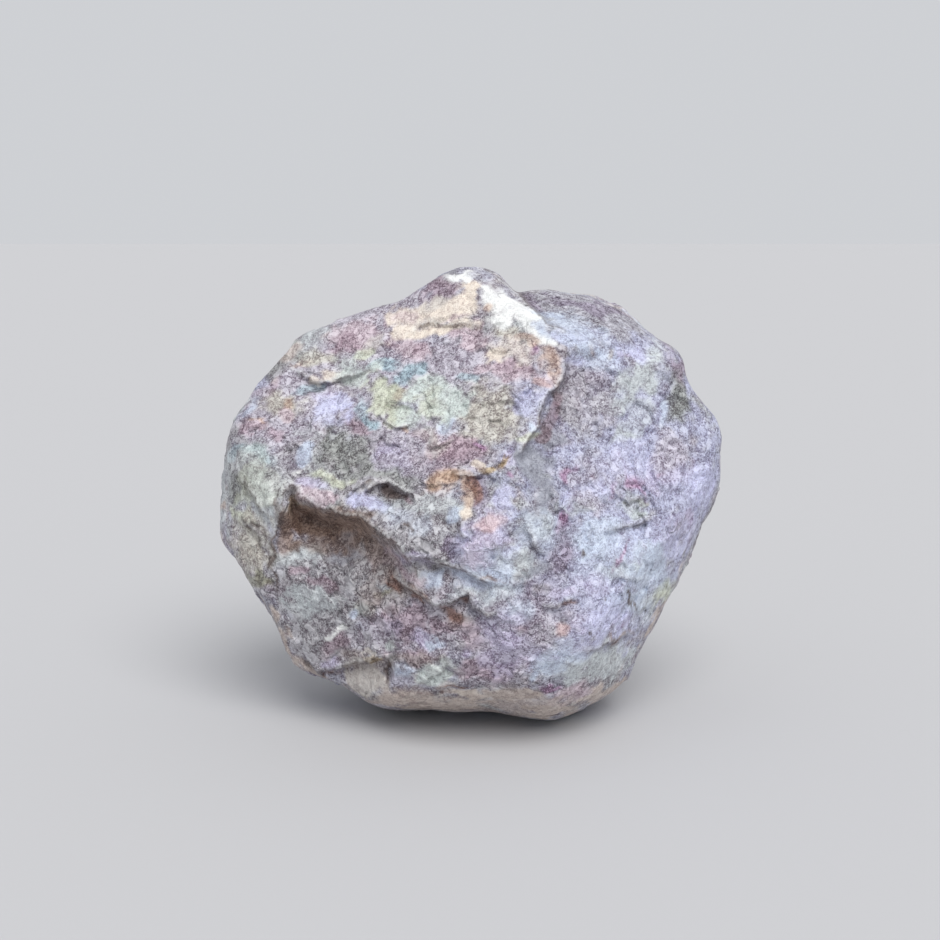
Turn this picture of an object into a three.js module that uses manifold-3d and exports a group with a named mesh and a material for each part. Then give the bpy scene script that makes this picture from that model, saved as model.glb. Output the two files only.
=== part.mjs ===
// A rough, unpolished lump of eudialyte rock, palm sized, standing on one flat broken face.
// Lengths are millimetres, +Z is up. The origin lies on the resting face, in the middle of the
// stone's extent in X and in Y. The broad face with the hollow looks towards -Y.
import * as THREE from 'three';
import { mergeVertices } from 'three/addons/utils/BufferGeometryUtils.js';
import Module from 'manifold-3d';

// Driving dimensions
const WIDTH = 80;            // widest extent of the broad face
const FRONT_DEPTH = 31;      // from the middle of the stone out to its broad face
const BACK_DEPTH = 30;       // from the middle of the stone to its back
const BASE_DROP = 34.2;      // height of the stone's middle above the resting face
const FACE_LEAN = 11;        // degrees by which the broad face looks upwards
const VIEW_DISTANCE = 246;   // the places below are as they look from this far in front of the face
const BODY_POWER = 2.3;      // 2 is a round body, larger is boxier
const EDGE_POWER = 44;       // larger makes the edges between the flats crisper
const MESH_STEPS = 21;       // cuts along each edge of the starting icosahedron
const NARROWEST_FACE = 2.4;  // the drop of a ledge is drawn at least this wide, a little over one mesh edge
const FRONT_FADE = [0.02, 0.2];   // where the front's breaks fade out on the rim and over how much
const STONE_COLOUR = 0xb0a3aa;
const STONE_ROUGHNESS = 0.72;

const UNIT = WIDTH / 80;     // the places below are measured on a face 80 across

// Silhouette of the broad face, [across, up] from its middle, clockwise from the peak
const OUTLINE = [
  [0, 36], [2.7, 35.9], [4.6, 34.9], [6.2, 33.2], [7.6, 32.1], [10, 32.5], [12.5, 32.6], [15.5, 32.3],
  [18.5, 31.8], [21, 31], [24, 29.8], [27, 27.4], [30, 24.8], [32.3, 23.4], [33.8, 21.4], [34.5, 18.5],
  [35.6, 16.4], [37.5, 14], [39.2, 12], [40, 9.5], [39.9, 6], [39.7, 1], [38.8, -2.5], [37, -5.5],
  [36, -9.8], [34.3, -13], [32, -17], [29.5, -21.5], [27, -26], [26, -28.3], [25, -29.8], [22, -31.9],
  [19, -33.5], [16, -35], [13.5, -35.9], [11, -35.9], [7, -35.3], [3, -34.6], [-2, -34.7], [-7, -34.3],
  [-13, -34.2], [-16, -33.2], [-20, -30.6], [-22.5, -29.6], [-25.5, -28.4], [-28, -27], [-29.3, -25],
  [-30.2, -22], [-32, -18.5], [-34, -15.8], [-36.5, -12], [-38.6, -9], [-39.8, -6.5], [-40, -4],
  [-39.7, 0], [-39.4, 5], [-38.4, 10], [-37.2, 13], [-35, 16], [-32, 19.8], [-29.5, 22.8],
  [-27.3, 24.9], [-23, 26.6], [-19, 28.4], [-14, 30], [-10.8, 31.1], [-8, 32.8], [-6, 34], [-3, 35.4],
];

// Broken flats of the front. Each lies at out = level + across * x + up * y.
const FRONT_FLATS = {
  upperLeftFace: { level: 26.9, across: 0.44, up: -0.55 },
  rightFace: { level: 33.5, across: -0.64, up: -0.18 },
  frontOfTheNose: { level: 29, across: 0.03, up: 0.13 },
  topOfTheShoulder: { level: 96, across: -1.14, up: -2.2 },
  whiteFlankOfThePeak: { level: 55.1, across: -0.3, up: -1.37 },
  bottomChamfer: { level: 92, across: 0.1, up: 2.25 },
  lowerLeftFace: { level: 37, across: 0.72, up: 0.42 },
  lowerRightSide: { level: 70, across: -1.7, up: 0.75 },
  sideOfTheLeftLobe: { level: 52, across: 1.25, up: 0 },
};

// Broken flats of the back. Each lies at out = -(level + across * x + up * y).
const BACK_FLATS = {
  broadBack: { level: 28, across: 0.12, up: 0.3 },
  backRight: { level: 33, across: -0.62, up: -0.25 },
  backLeft: { level: 35, across: 0.66, up: -0.3 },
  backTop: { level: 48, across: 0.1, up: -1.15 },
  backBottomLeft: { level: 45, across: 0.62, up: 0.75 },
  backBottomRight: { level: 50, across: -0.8, up: 0.75 },
};

// Ledges of the front: [across, up, drop] along the upper edge, low side on the right of the line;
// face is how wide the drop looks, run is how far the ground takes to come back up.
const LEDGES = {
  browOfTheHollow: { face: 2.6, run: 24, line: [[-33, -12, 0], [-31.5, -8, 1.5], [-30.6, -4, 2.8],
    [-30.2, -0.5, 3.8], [-28.8, 1.6, 4.8], [-27, -0.2, 6.2], [-25, -1.7, 7.2], [-20, -3, 8],
    [-15, -5.3, 8], [-12.5, -7, 7], [-10.5, -9, 5], [-9, -12, 3], [-7.5, -15, 0]] },
  secondStep: { face: 0.7, run: 9, line: [[-12, -8.5, 0], [-9.5, -10, 2.6], [-5, -11, 2.8],
    [-1, -12, 2.2], [2, -13.5, 1.6], [5, -15, 0]] },
  thirdStep: { face: 0.6, run: 12, line: [[-13, -12.5, 0], [-10.5, -14.8, 2.2], [-8.5, -16, 2.6],
    [-5.5, -18, 3], [-3.5, -17.3, 3], [-0.5, -16.5, 2.6], [0.5, -18.3, 2.4], [3, -19.5, 1.5],
    [5.5, -19, 0]] },
  mainRidge: { face: 0.7, run: 10, line: [[7, 4, 0], [9, 8.2, 1.8], [10.7, 11, 3], [11.2, 13.5, 3.8],
    [12.5, 15.7, 3.8], [14.8, 18, 3.2], [15.2, 20, 1.6], [14.6, 23, 0]] },
  stepBehindThePeak: { face: 0.6, run: 14, line: [[17, 25.5, 0], [13.5, 26.5, 2.5], [12.2, 27, 3.2],
    [10.3, 28.9, 3.8], [8.5, 30.8, 4.5], [7, 32.4, 5], [6, 35, 5]] },
  upperLobeLedge: { face: 0.5, run: 6, line: [[-37.5, 4, 0], [-36, 1.5, 1.2], [-33.5, -2.5, 1.4],
    [-31, -5, 0]] },
  middleLobeLedge: { face: 0.5, run: 5, line: [[-38, -3.2, 0], [-36, -5.2, 1.3], [-34, -7, 1.5],
    [-31.5, -9.5, 0]] },
  lowerLobeLedge: { face: 0.5, run: 5, line: [[-39, -7, 0], [-37.5, -9.8, 1.2], [-36, -12, 1.5],
    [-33.8, -15.5, 1.2], [-31, -17.5, 0]] },
  rimOverhang: { face: 0.6, run: 9, line: [[-26, -27.5, 0], [-23.5, -28.3, 1.8], [-21, -27.8, 2.8],
    [-18, -26.7, 3], [-14, -26.4, 3], [-12.8, -26.6, 2.4], [-11.6, -29.5, 0]] },
  lowerFlake: { face: 0.4, run: 4, line: [[-10, -31, 0], [-8, -30, 0.9], [-3.6, -27, 1],
    [-1.5, -29.2, 0.9], [-4, -31.6, 0]] },
  lowerRightCrack: { face: 0.5, run: 8, line: [[17, -25.5, 0], [19.5, -24.8, 1.6], [22, -24, 2],
    [24, -23, 1.6], [27, -22.3, 0]] },
  greenFlake: { face: 0.4, run: 5, line: [[21, -6.2, 0], [23, -5.7, 1.1], [25.5, -4.8, 1.4],
    [28, -4.5, 1.2], [30, -3.5, 0]] },
  upperGreenFlake: { face: 0.4, run: 4, line: [[22, 1, 0], [23.5, 0, 0.7], [25.5, -1.5, 0.9],
    [27.5, -0.9, 0.8], [30, -0.2, 0]] },
  crescentFlake: { face: 0.35, run: 4, line: [[8.8, -4.5, 0], [9.8, -6.5, 1], [10.3, -8, 1.3],
    [11.3, -9.2, 1], [13, -9.5, 0]] },
  brightFlake: { face: 0.35, run: 4, line: [[23, -12.8, 0], [24.4, -13.5, 0.9], [26.5, -14, 1],
    [28.4, -13.6, 0]] },
  brownLedge: { face: 0.35, run: 4, line: [[11, -17.2, 0], [12.5, -17.9, 0.9], [14, -18, 1.2],
    [16, -17.2, 0.8], [17.5, -16.5, 0]] },
  yellowFlake: { face: 0.5, run: 5, line: [[-29, 20.5, 0], [-27.5, 19.5, 1], [-25, 18, 1.4],
    [-22, 18, 1.4], [-18.5, 19, 1.2], [-15.5, 20, 0]] },
  roundedLedge: { face: 0.5, run: 5, line: [[-17.5, 15, 0], [-18.8, 16.4, 0.8], [-20.8, 17.4, 1.2],
    [-23, 17, 1.3], [-26.2, 15.6, 1], [-28, 14, 0]] },
  flakeRim: { face: 0.4, run: 4, line: [[-15, 13, 0], [-13.5, 11.8, 0.8], [-11.8, 10.5, 1.1],
    [-10, 11, 0.9], [-8.5, 12, 0]] },
  pocketLip: { face: 0.4, run: 5, line: [[-17.5, 0.4, 0], [-16, 1, 1.4], [-13, 1.8, 2.2], [-11, 1, 2],
    [-9, -0.6, 1.2], [-8, -2.5, 0]] },
  middleLedge: { face: 0.4, run: 5, line: [[-3, 3.4, 0], [-1.5, 2.6, 0.9], [1, 2.4, 1.2], [2.4, 3.2, 0.7],
    [4, 4, 0]] },
  quartzCrack: { face: 0.4, run: 4, line: [[-10.5, 24.8, 0], [-8.8, 26.2, 0.8], [-7.5, 27.2, 1.1],
    [-3, 27.4, 1.1], [0, 27.2, 0.9], [2, 26.6, 0]] },
};

// Ledges of the back, in the same places seen through the stone
const BACK_LEDGES = {
  longStep: { face: 1, run: 18, line: [[-30, -14, 0], [-22, -6, 2.5], [-12, -1, 3.4], [0, 1, 3.6], [9, 6, 3],
    [18, 8, 2.4], [27, 15, 0]] },
  lowerStep: { face: 0.8, run: 12, line: [[-20, -22, 0], [-10, -17, 2.2], [2, -15, 2.6], [12, -18, 2],
    [24, -16, 0]] },
  upperStep: { face: 0.8, run: 10, line: [[22, 24, 0], [12, 18, 2], [3, 17, 2.4], [-8, 21, 2],
    [-20, 19, 0]] },
};

// Dents of the front: [across, up], half sizes, turn in degrees and depth; a lump has a negative depth
const DENTS = {
  smoothHollowUnderTheRidge: { at: [10.5, 3.5], half: [3.8, 6.5], turn: -15, depth: 2.2 },
  diagonalValley: { at: [13, -10], half: [4, 12], turn: -35, depth: 1.8 },
  pitBehindTheRidge: { at: [14.3, 11.5], half: [1.4, 2.4], turn: 0, depth: 1 },
  floorOfTheHollow: { at: [-25, -6], half: [6.5, 5], turn: 0, depth: 1.8 },
  tileInTheHollow: { at: [-20, -7.5], half: [2.4, 3], turn: 20, depth: 0.9 },
  cleftInTheRim: { at: [-12.5, -28.2], half: [0.8, 2.6], turn: -10, depth: 1.6 },
  dishOfTheRightFace: { at: [24, 10], half: [12, 9], turn: 30, depth: 1.2 },
  scallopOfTheRightFace: { at: [21, 16], half: [2.8, 2.2], turn: 0, depth: 0.6 },
  knobAtTheTopRight: { at: [31.5, 21], half: [3.5, 3], turn: 0, depth: -1.2 },
  knobOfTheLobe: { at: [-36, -14], half: [2.4, 2], turn: 0, depth: -0.8 },
  lowerKnobOfTheLobe: { at: [-33, -15.5], half: [1.8, 1.5], turn: 0, depth: -0.7 },
  swellUnderTheNose: { at: [1, -6], half: [5, 9], turn: 15, depth: -1.5 },
  dishLeftOfTheFoot: { at: [-6, -24], half: [7, 4], turn: 0, depth: 0.9 },
  dishOfTheFoot: { at: [6, -25], half: [5, 4], turn: 0, depth: 0.6 },
};

// Broken surface all round. A size is that of one feature, and a seed picks where the features fall.
const WARP = { size: 9, reach: 2, seeds: [31, 41, 51] };     // bends the rows of scars
const BROAD_SCARS = { size: 12, depth: 0.9, seed: 5 };       // dished scars with crisp edges
const SMALL_SCARS = { size: 5, depth: 0.4, seed: 6 };
const MEAN_SCAR = 0.3;                                       // mean depth of a scar of depth 1
const FLAKES = { size: 15, layers: 2.6, depth: 0.7, seed: 61 };   // stepped layers
const FLAKED_GROUND = { size: 14, seed: 66, gain: 2.5, share: 0.4 };   // where the layers show
const LAYER_FALL = 0.18;                                     // share of a layer over which it falls
const LEDGE_WANDER = { size: 3.5, reach: 0.6, seeds: [91, 191] };   // roughens the lines of the ledges
const LEDGE_FADE = 1.3;      // how a ledge's drop dies away over its run, 1 is evenly
const LEDGE_ENDS = 0.3;      // a ledge is at full drop where its own is this share of the deepest

// Small mathematics

function smooth(t) {
  const clamped = Math.min(1, Math.max(0, t));
  return clamped * clamped * (3 - 2 * clamped);
}

/** Scatters whole-number places into 32 random bits. */
function scatter(ix, iy, iz, seed) {
  let bits = Math.imul(ix, 73856093) ^ Math.imul(iy, 19349663) ^ Math.imul(iz, 83492791)
    ^ Math.imul(seed, 2654435761);
  bits ^= bits >>> 13;
  bits = Math.imul(bits, 1274126177);
  return (bits ^ (bits >>> 16)) >>> 0;
}

/** The three ten-bit fields of the scattered bits, each from 0 to 1. */
function fields(bits) {
  return [bits & 1023, (bits >>> 10) & 1023, (bits >>> 20) & 1023].map((field) => field / 1023);
}

/** The place counted in cells of the size, far from 0 so that every cell number is positive. */
function inCells(place, size) {
  const far = 1000;
  return place.map((value) => value / size + far);
}

/** Gradient noise from about -1 to 1 with features of the size. */
function noise(place, size, seed) {
  const gain = 1.6;
  const q = inCells(place, size);
  const base = q.map(Math.floor);
  const part = q.map((value, axis) => value - base[axis]);
  const blend = part.map((f) => f * f * f * (f * (f * 6 - 15) + 10));
  let total = 0;
  for (let corner = 0; corner < 8; corner += 1) {
    const step = [corner & 1, (corner >> 1) & 1, (corner >> 2) & 1];
    const slope = fields(scatter(base[0] + step[0], base[1] + step[1], base[2] + step[2], seed));
    let share = 1;
    let rise = 0;
    for (let axis = 0; axis < 3; axis += 1) {
      share *= step[axis] ? blend[axis] : 1 - blend[axis];
      rise += (2 * slope[axis] - 1) * (part[axis] - step[axis]);
    }
    total += share * rise;
  }
  return total * gain;
}

/** Noise with finer noise added on it. */
function fractal(place, size, seed, octaves) {
  let total = 0;
  for (let octave = 0; octave < octaves; octave += 1) {
    total += noise(place, size / 2 ** octave, seed + octave) / 2 ** octave;
  }
  return total;
}

/** Dished cells that meet in crisp edges: the scars that broken flakes leave. */
function scars(place, size, seed) {
  const margin = 0.1;      // keeps the middles off the borders of their cells
  const q = inCells(place, size);
  const base = q.map(Math.floor);
  let nearest = Infinity;
  for (let cell = 0; cell < 27; cell += 1) {
    const at = [base[0] + (Math.floor(cell / 9) % 3) - 1, base[1] + (Math.floor(cell / 3) % 3) - 1,
      base[2] + (cell % 3) - 1];
    const within = fields(scatter(at[0], at[1], at[2], seed));
    let square = 0;
    for (let axis = 0; axis < 3; axis += 1) {
      square += (at[axis] + margin + (1 - 2 * margin) * within[axis] - q[axis]) ** 2;
    }
    nearest = Math.min(nearest, square);
  }
  return nearest;
}

/** Rises slowly and falls at once, the profile of layers that lie over one another. */
function layered(t) {
  const part = t - Math.floor(t);
  return part - smooth((part - 1 + LAYER_FALL) / LAYER_FALL);
}

// The body

/** Radius of the silhouette at an angle, a smooth curve through the outline's points. */
function makeSilhouette() {
  const knots = OUTLINE
    .map(([x, y]) => ({ angle: Math.atan2(y, x), radius: Math.hypot(x, y) * UNIT }))
    .sort((a, b) => a.angle - b.angle);
  const count = knots.length;
  const knot = (index) => {
    const wrapped = knots[(index + count) % count];
    return { angle: wrapped.angle + 2 * Math.PI * Math.floor(index / count), radius: wrapped.radius };
  };
  const slope = (index) => (knot(index + 1).radius - knot(index - 1).radius)
    / (knot(index + 1).angle - knot(index - 1).angle);
  return (angle) => {
    let index = count - 1;
    if (angle < knots[0].angle) index = -1;
    else while (knots[index].angle > angle) index -= 1;
    const from = knot(index);
    const to = knot(index + 1);
    const gap = to.angle - from.angle;
    const t = (angle - from.angle) / gap;
    return (2 * t ** 3 - 3 * t ** 2 + 1) * from.radius + (t ** 3 - 2 * t ** 2 + t) * slope(index) * gap
      + (-2 * t ** 3 + 3 * t ** 2) * to.radius + (t ** 3 - t ** 2) * slope(index + 1) * gap;
  };
}

/** The flats as outward unit normals with their distance from the middle. */
function makeFlats() {
  const flat = (side) => ({ level, across, up }) => {
    const normal = new THREE.Vector3(-across, -up, side);
    const length = normal.length();
    return { normal: normal.divideScalar(length), distance: (level * UNIT) / length };
  };
  return [...Object.values(FRONT_FLATS).map(flat(1)), ...Object.values(BACK_FLATS).map(flat(-1))];
}

/** Signed distance from a ledge's line, positive on its low side, and the drop there. */
function acrossLedge(line, x, y) {
  const even = 1e-6;       // distances this close count as equal, as at a corner of the line
  const nearness = 0.05;   // blends the drop of the pieces of the line that are near
  let nearest = Infinity;
  let square = 0;
  let signed = 0;
  let ownDrop = 0;
  let weights = 0;
  let drops = 0;
  const deepest = Math.max(...line.map((point) => point[2]));
  for (let index = 0; index + 1 < line.length; index += 1) {
    const [ax, ay, fromDrop] = line[index];
    const [bx, by, toDrop] = line[index + 1];
    const length = Math.hypot(bx - ax, by - ay);
    const t = Math.min(1, Math.max(0, ((x - ax) * (bx - ax) + (y - ay) * (by - ay)) / length ** 2));
    const dx = x - ax - t * (bx - ax);
    const dy = y - ay - t * (by - ay);
    const distance = Math.hypot(dx, dy);
    const side = (dx * (by - ay) - dy * (bx - ax)) / length;
    const drop = fromDrop + t * (toDrop - fromDrop);
    const tie = Math.abs(distance - nearest) < even;
    if (tie ? Math.abs(side) > square : distance < nearest) {
      nearest = distance;
      square = Math.abs(side);
      signed = side < 0 ? -distance : distance;
      ownDrop = drop;
    }
    const weight = (distance + nearness) ** -4;
    weights += weight;
    drops += weight * drop;
  }
  return { signed, drop: (drops / weights) * Math.min(1, ownDrop / (LEDGE_ENDS * deepest)) };
}

/** Depth of a set of ledges at a place of the face. */
function ledgeDepth(ledges, x, y) {
  let depth = 0;
  for (const { face, run, line } of Object.values(ledges)) {
    const { signed, drop } = acrossLedge(line, x, y);
    const left = Math.min(1, Math.max(0, 1 - signed / run));
    depth += drop * smooth(signed / Math.max(face, NARROWEST_FACE)) * left ** LEDGE_FADE;
  }
  return depth * UNIT;
}

/** Depth of the front's dents at a place of the face. */
function dentDepth(x, y) {
  let depth = 0;
  for (const { at, half, turn, depth: deepest } of Object.values(DENTS)) {
    const angle = THREE.MathUtils.degToRad(turn);
    const dx = x - at[0];
    const dy = y - at[1];
    const px = (dx * Math.cos(angle) + dy * Math.sin(angle)) / half[0];
    const py = (-dx * Math.sin(angle) + dy * Math.cos(angle)) / half[1];
    depth += deepest * Math.max(0, 1 - px * px - py * py) ** 1.5;
  }
  return depth * UNIT;
}

/** Depth of the scars and layers that the breaks left all round. */
function brokenDepth(place) {
  const warp = WARP.seeds.map((seed) => fractal(place, WARP.size, seed, 2));
  const bent = place.map((value, axis) => value + WARP.reach * warp[axis]);
  const halfBent = place.map((value, axis) => value + 0.5 * WARP.reach * warp[axis]);
  const layers = fractal(halfBent, FLAKES.size, FLAKES.seed, 2) * FLAKES.layers;
  const ground = noise(place, FLAKED_GROUND.size, FLAKED_GROUND.seed);
  const patch = smooth(ground * FLAKED_GROUND.gain + FLAKED_GROUND.share);
  return BROAD_SCARS.depth * (scars(bent, BROAD_SCARS.size, BROAD_SCARS.seed) - MEAN_SCAR)
    + SMALL_SCARS.depth * (scars(bent, SMALL_SCARS.size, SMALL_SCARS.seed) - MEAN_SCAR)
    - FLAKES.depth * layered(layers) * patch;
}

/** Point of the stone's surface in a direction, both in face axes: across, up, out. */
function makeSurface() {
  const silhouette = makeSilhouette();
  const flats = makeFlats();
  const viewDistance = VIEW_DISTANCE * UNIT;
  const shrink = Math.sqrt(1 - (FRONT_DEPTH / VIEW_DISTANCE) ** 2);
  return (direction) => {
    const across = Math.hypot(direction.x, direction.y);
    const radius = silhouette(Math.atan2(direction.y, direction.x)) * shrink;
    const depth = (direction.z > 0 ? FRONT_DEPTH : BACK_DEPTH) * UNIT;
    const body = (across / radius) ** BODY_POWER + (Math.abs(direction.z) / depth) ** BODY_POWER;
    let sum = body ** (EDGE_POWER / BODY_POWER);
    for (const { normal, distance } of flats) {
      sum += Math.max(0, normal.dot(direction) / distance) ** EDGE_POWER;
    }
    const point = direction.clone().multiplyScalar(sum ** (-1 / EDGE_POWER));
    const place = point.toArray().map((value) => value / UNIT);
    const nearer = VIEW_DISTANCE / (VIEW_DISTANCE - place[2]);
    const front = smooth((direction.z + FRONT_FADE[0]) / FRONT_FADE[1]);
    const back = smooth((-direction.z - FRONT_FADE[0]) / FRONT_FADE[1]);
    const [x, y] = LEDGE_WANDER.seeds.map((seed, axis) => place[axis] * nearer
      + LEDGE_WANDER.reach * fractal(place, LEDGE_WANDER.size, seed, 2));
    const cut = (ledgeDepth(LEDGES, x, y) + dentDepth(x, y)) * front
      + ledgeDepth(BACK_LEDGES, x, y) * back + brokenDepth(place) * UNIT;
    const sight = new THREE.Vector3(0, 0, viewDistance).sub(point).normalize();
    const inward = sight.multiplyScalar(front).addScaledVector(direction, 1 - front);
    return point.addScaledVector(inward, -cut);
  };
}

// The solid

/** Turns face axes into world axes: X to the right, Y to the back, Z up. */
function faceToWorld(geometry) {
  const lean = THREE.MathUtils.degToRad(FACE_LEAN);
  const right = new THREE.Vector3(1, 0, 0);
  const up = new THREE.Vector3(0, Math.sin(lean), Math.cos(lean));
  const out = new THREE.Vector3(0, -Math.cos(lean), Math.sin(lean));
  geometry.applyMatrix4(new THREE.Matrix4().makeBasis(right, up, out));
}

/** Merges the vertices of a geometry and keeps only their places. */
function closed(geometry) {
  const bare = geometry.clone();
  bare.deleteAttribute('normal');
  bare.deleteAttribute('uv');
  const tolerance = 1e-4;
  return mergeVertices(bare, tolerance);
}

/** The whole lump before the resting face is broken off. */
function lump() {
  const geometry = closed(new THREE.IcosahedronGeometry(1, MESH_STEPS));
  const surface = makeSurface();
  const places = geometry.attributes.position;
  const direction = new THREE.Vector3();
  for (let index = 0; index < places.count; index += 1) {
    const point = surface(direction.fromBufferAttribute(places, index).normalize());
    places.setXYZ(index, point.x, point.y, point.z);
  }
  faceToWorld(geometry);
  geometry.translate(0, 0, BASE_DROP * UNIT);
  return geometry;
}

/** Breaks off what lies below the resting face, so the stone stands on one flat. */
async function breakOffBelow(geometry) {
  const wasm = await Module();
  wasm.setup();
  const solid = (source) => new wasm.Manifold(new wasm.Mesh({
    numProp: 3,
    vertProperties: new Float32Array(source.attributes.position.array),
    triVerts: new Uint32Array(source.index.array),
  }));
  const reach = 3 * WIDTH;
  const block = closed(new THREE.BoxGeometry(reach, reach, WIDTH).translate(0, 0, -WIDTH / 2));
  const mesh = solid(geometry).subtract(solid(block)).getMesh();
  const result = new THREE.BufferGeometry();
  result.setAttribute('position', new THREE.BufferAttribute(new Float32Array(mesh.vertProperties), 3));
  result.setIndex(new THREE.BufferAttribute(new Uint32Array(mesh.triVerts), 1));
  return result;
}

/** The stone with its origin on the resting face, in the middle of its extent in X and Y. */
async function stoneGeometry() {
  const geometry = await breakOffBelow(lump());
  geometry.computeBoundingBox();
  const middle = geometry.boundingBox.getCenter(new THREE.Vector3());
  geometry.translate(-middle.x, -middle.y, -geometry.boundingBox.min.z);
  geometry.computeVertexNormals();
  return geometry;
}

function stoneMaterial() {
  return new THREE.MeshStandardMaterial({
    color: STONE_COLOUR, roughness: STONE_ROUGHNESS, metalness: 0, flatShading: true,
  });
}

const stone = new THREE.Mesh(await stoneGeometry(), stoneMaterial());
stone.name = 'stone';

const part = new THREE.Group();
part.name = 'rough_eudialyte_stone';
part.add(stone);

export default part;
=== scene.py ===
"""A rough eudialyte stone on a pale floor, dressed over its CAD solid.

The stone is formed again at a finer step than in the CAD, from the same named places, with finer scars,
flakes and grains. Its minerals are painted as patches whose places are measured on the broad face."""

import math
from collections import namedtuple
from functools import reduce
from types import SimpleNamespace

import bmesh
import bpy
import numpy as np
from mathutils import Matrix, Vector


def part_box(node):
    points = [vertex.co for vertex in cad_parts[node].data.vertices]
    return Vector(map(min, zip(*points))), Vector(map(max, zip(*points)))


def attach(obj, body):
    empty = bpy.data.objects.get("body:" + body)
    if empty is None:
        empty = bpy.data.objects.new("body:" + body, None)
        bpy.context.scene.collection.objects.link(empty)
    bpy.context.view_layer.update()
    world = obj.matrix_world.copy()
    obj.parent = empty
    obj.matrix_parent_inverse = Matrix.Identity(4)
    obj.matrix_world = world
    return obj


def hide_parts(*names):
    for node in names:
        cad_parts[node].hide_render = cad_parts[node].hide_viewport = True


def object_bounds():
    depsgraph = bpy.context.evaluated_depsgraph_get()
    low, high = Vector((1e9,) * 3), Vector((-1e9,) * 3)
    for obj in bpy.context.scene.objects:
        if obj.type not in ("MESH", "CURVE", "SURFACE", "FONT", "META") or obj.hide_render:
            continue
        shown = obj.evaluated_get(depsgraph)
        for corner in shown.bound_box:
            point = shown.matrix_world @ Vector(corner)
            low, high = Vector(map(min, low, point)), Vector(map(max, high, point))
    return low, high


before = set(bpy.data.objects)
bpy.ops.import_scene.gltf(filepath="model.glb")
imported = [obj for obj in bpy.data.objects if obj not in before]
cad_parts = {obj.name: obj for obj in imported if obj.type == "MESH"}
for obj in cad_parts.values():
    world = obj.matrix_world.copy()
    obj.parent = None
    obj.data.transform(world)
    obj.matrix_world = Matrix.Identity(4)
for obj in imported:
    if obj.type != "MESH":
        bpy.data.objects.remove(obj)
CAD_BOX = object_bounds()

# Driving dimensions, in millimetres on a face 80 across
FRONT_DEPTH = 31  # from the middle of the stone out to its broad face
BACK_DEPTH = 30  # from the middle of the stone to its back
BASE_DROP = 34.2  # height of the stone's middle above the resting face
FACE_LEAN = 11  # degrees by which the broad face looks upwards
VIEW_DISTANCE = 246  # the places below are as they look from this far in front of the face
BODY_POWER = 2.3  # 2 is a round body, larger is boxier
EDGE_POWER = 44  # larger makes the edges between the flats crisper
FRONT_FADE = (0.02, 0.2)  # where the front's breaks fade out on the rim and over how much
FRONT_SHARE = 0.25  # how much denser the mesh is on the broad face

# Silhouette of the broad face, (across, up) from its middle, clockwise from the peak
OUTLINE = [
    (0, 36), (2.7, 35.9), (4.6, 34.9), (6.2, 33.2), (7.6, 32.1), (10, 32.5), (12.5, 32.6), (15.5, 32.3),
    (18.5, 31.8), (21, 31), (24, 29.8), (27, 27.4), (30, 24.8), (32.3, 23.4), (33.8, 21.4), (34.5, 18.5),
    (35.6, 16.4), (37.5, 14), (39.2, 12), (40, 9.5), (39.9, 6), (39.7, 1), (38.8, -2.5), (37, -5.5),
    (36, -9.8), (34.3, -13), (32, -17), (29.5, -21.5), (27, -26), (26, -28.3), (25, -29.8), (22, -31.9),
    (19, -33.5), (16, -35), (13.5, -35.9), (11, -35.9), (7, -35.3), (3, -34.6), (-2, -34.7), (-7, -34.3),
    (-13, -34.2), (-16, -33.2), (-20, -30.6), (-22.5, -29.6), (-25.5, -28.4), (-28, -27), (-29.3, -25),
    (-30.2, -22), (-32, -18.5), (-34, -15.8), (-36.5, -12), (-38.6, -9), (-39.8, -6.5), (-40, -4),
    (-39.7, 0), (-39.4, 5), (-38.4, 10), (-37.2, 13), (-35, 16), (-32, 19.8), (-29.5, 22.8),
    (-27.3, 24.9), (-23, 26.6), (-19, 28.4), (-14, 30), (-10.8, 31.1), (-8, 32.8), (-6, 34), (-3, 35.4),
]

# Broken flats of the front: out = level + across * x + up * y
FRONT_FLATS = {
    "upper left face": (26.9, 0.44, -0.55),
    "right face": (33.5, -0.64, -0.18),
    "front of the nose": (29, 0.03, 0.13),
    "top of the shoulder": (96, -1.14, -2.2),
    "white flank of the peak": (55.1, -0.3, -1.37),
    "bottom chamfer": (92, 0.1, 2.25),
    "lower left face": (37, 0.72, 0.42),
    "lower right side": (70, -1.7, 0.75),
    "side of the left lobe": (52, 1.25, 0),
}

# Broken flats of the back: out = -(level + across * x + up * y)
BACK_FLATS = {
    "broad back": (28, 0.12, 0.3),
    "back right": (33, -0.62, -0.25),
    "back left": (35, 0.66, -0.3),
    "back top": (48, 0.1, -1.15),
    "back bottom left": (45, 0.62, 0.75),
    "back bottom right": (50, -0.8, 0.75),
}

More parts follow.
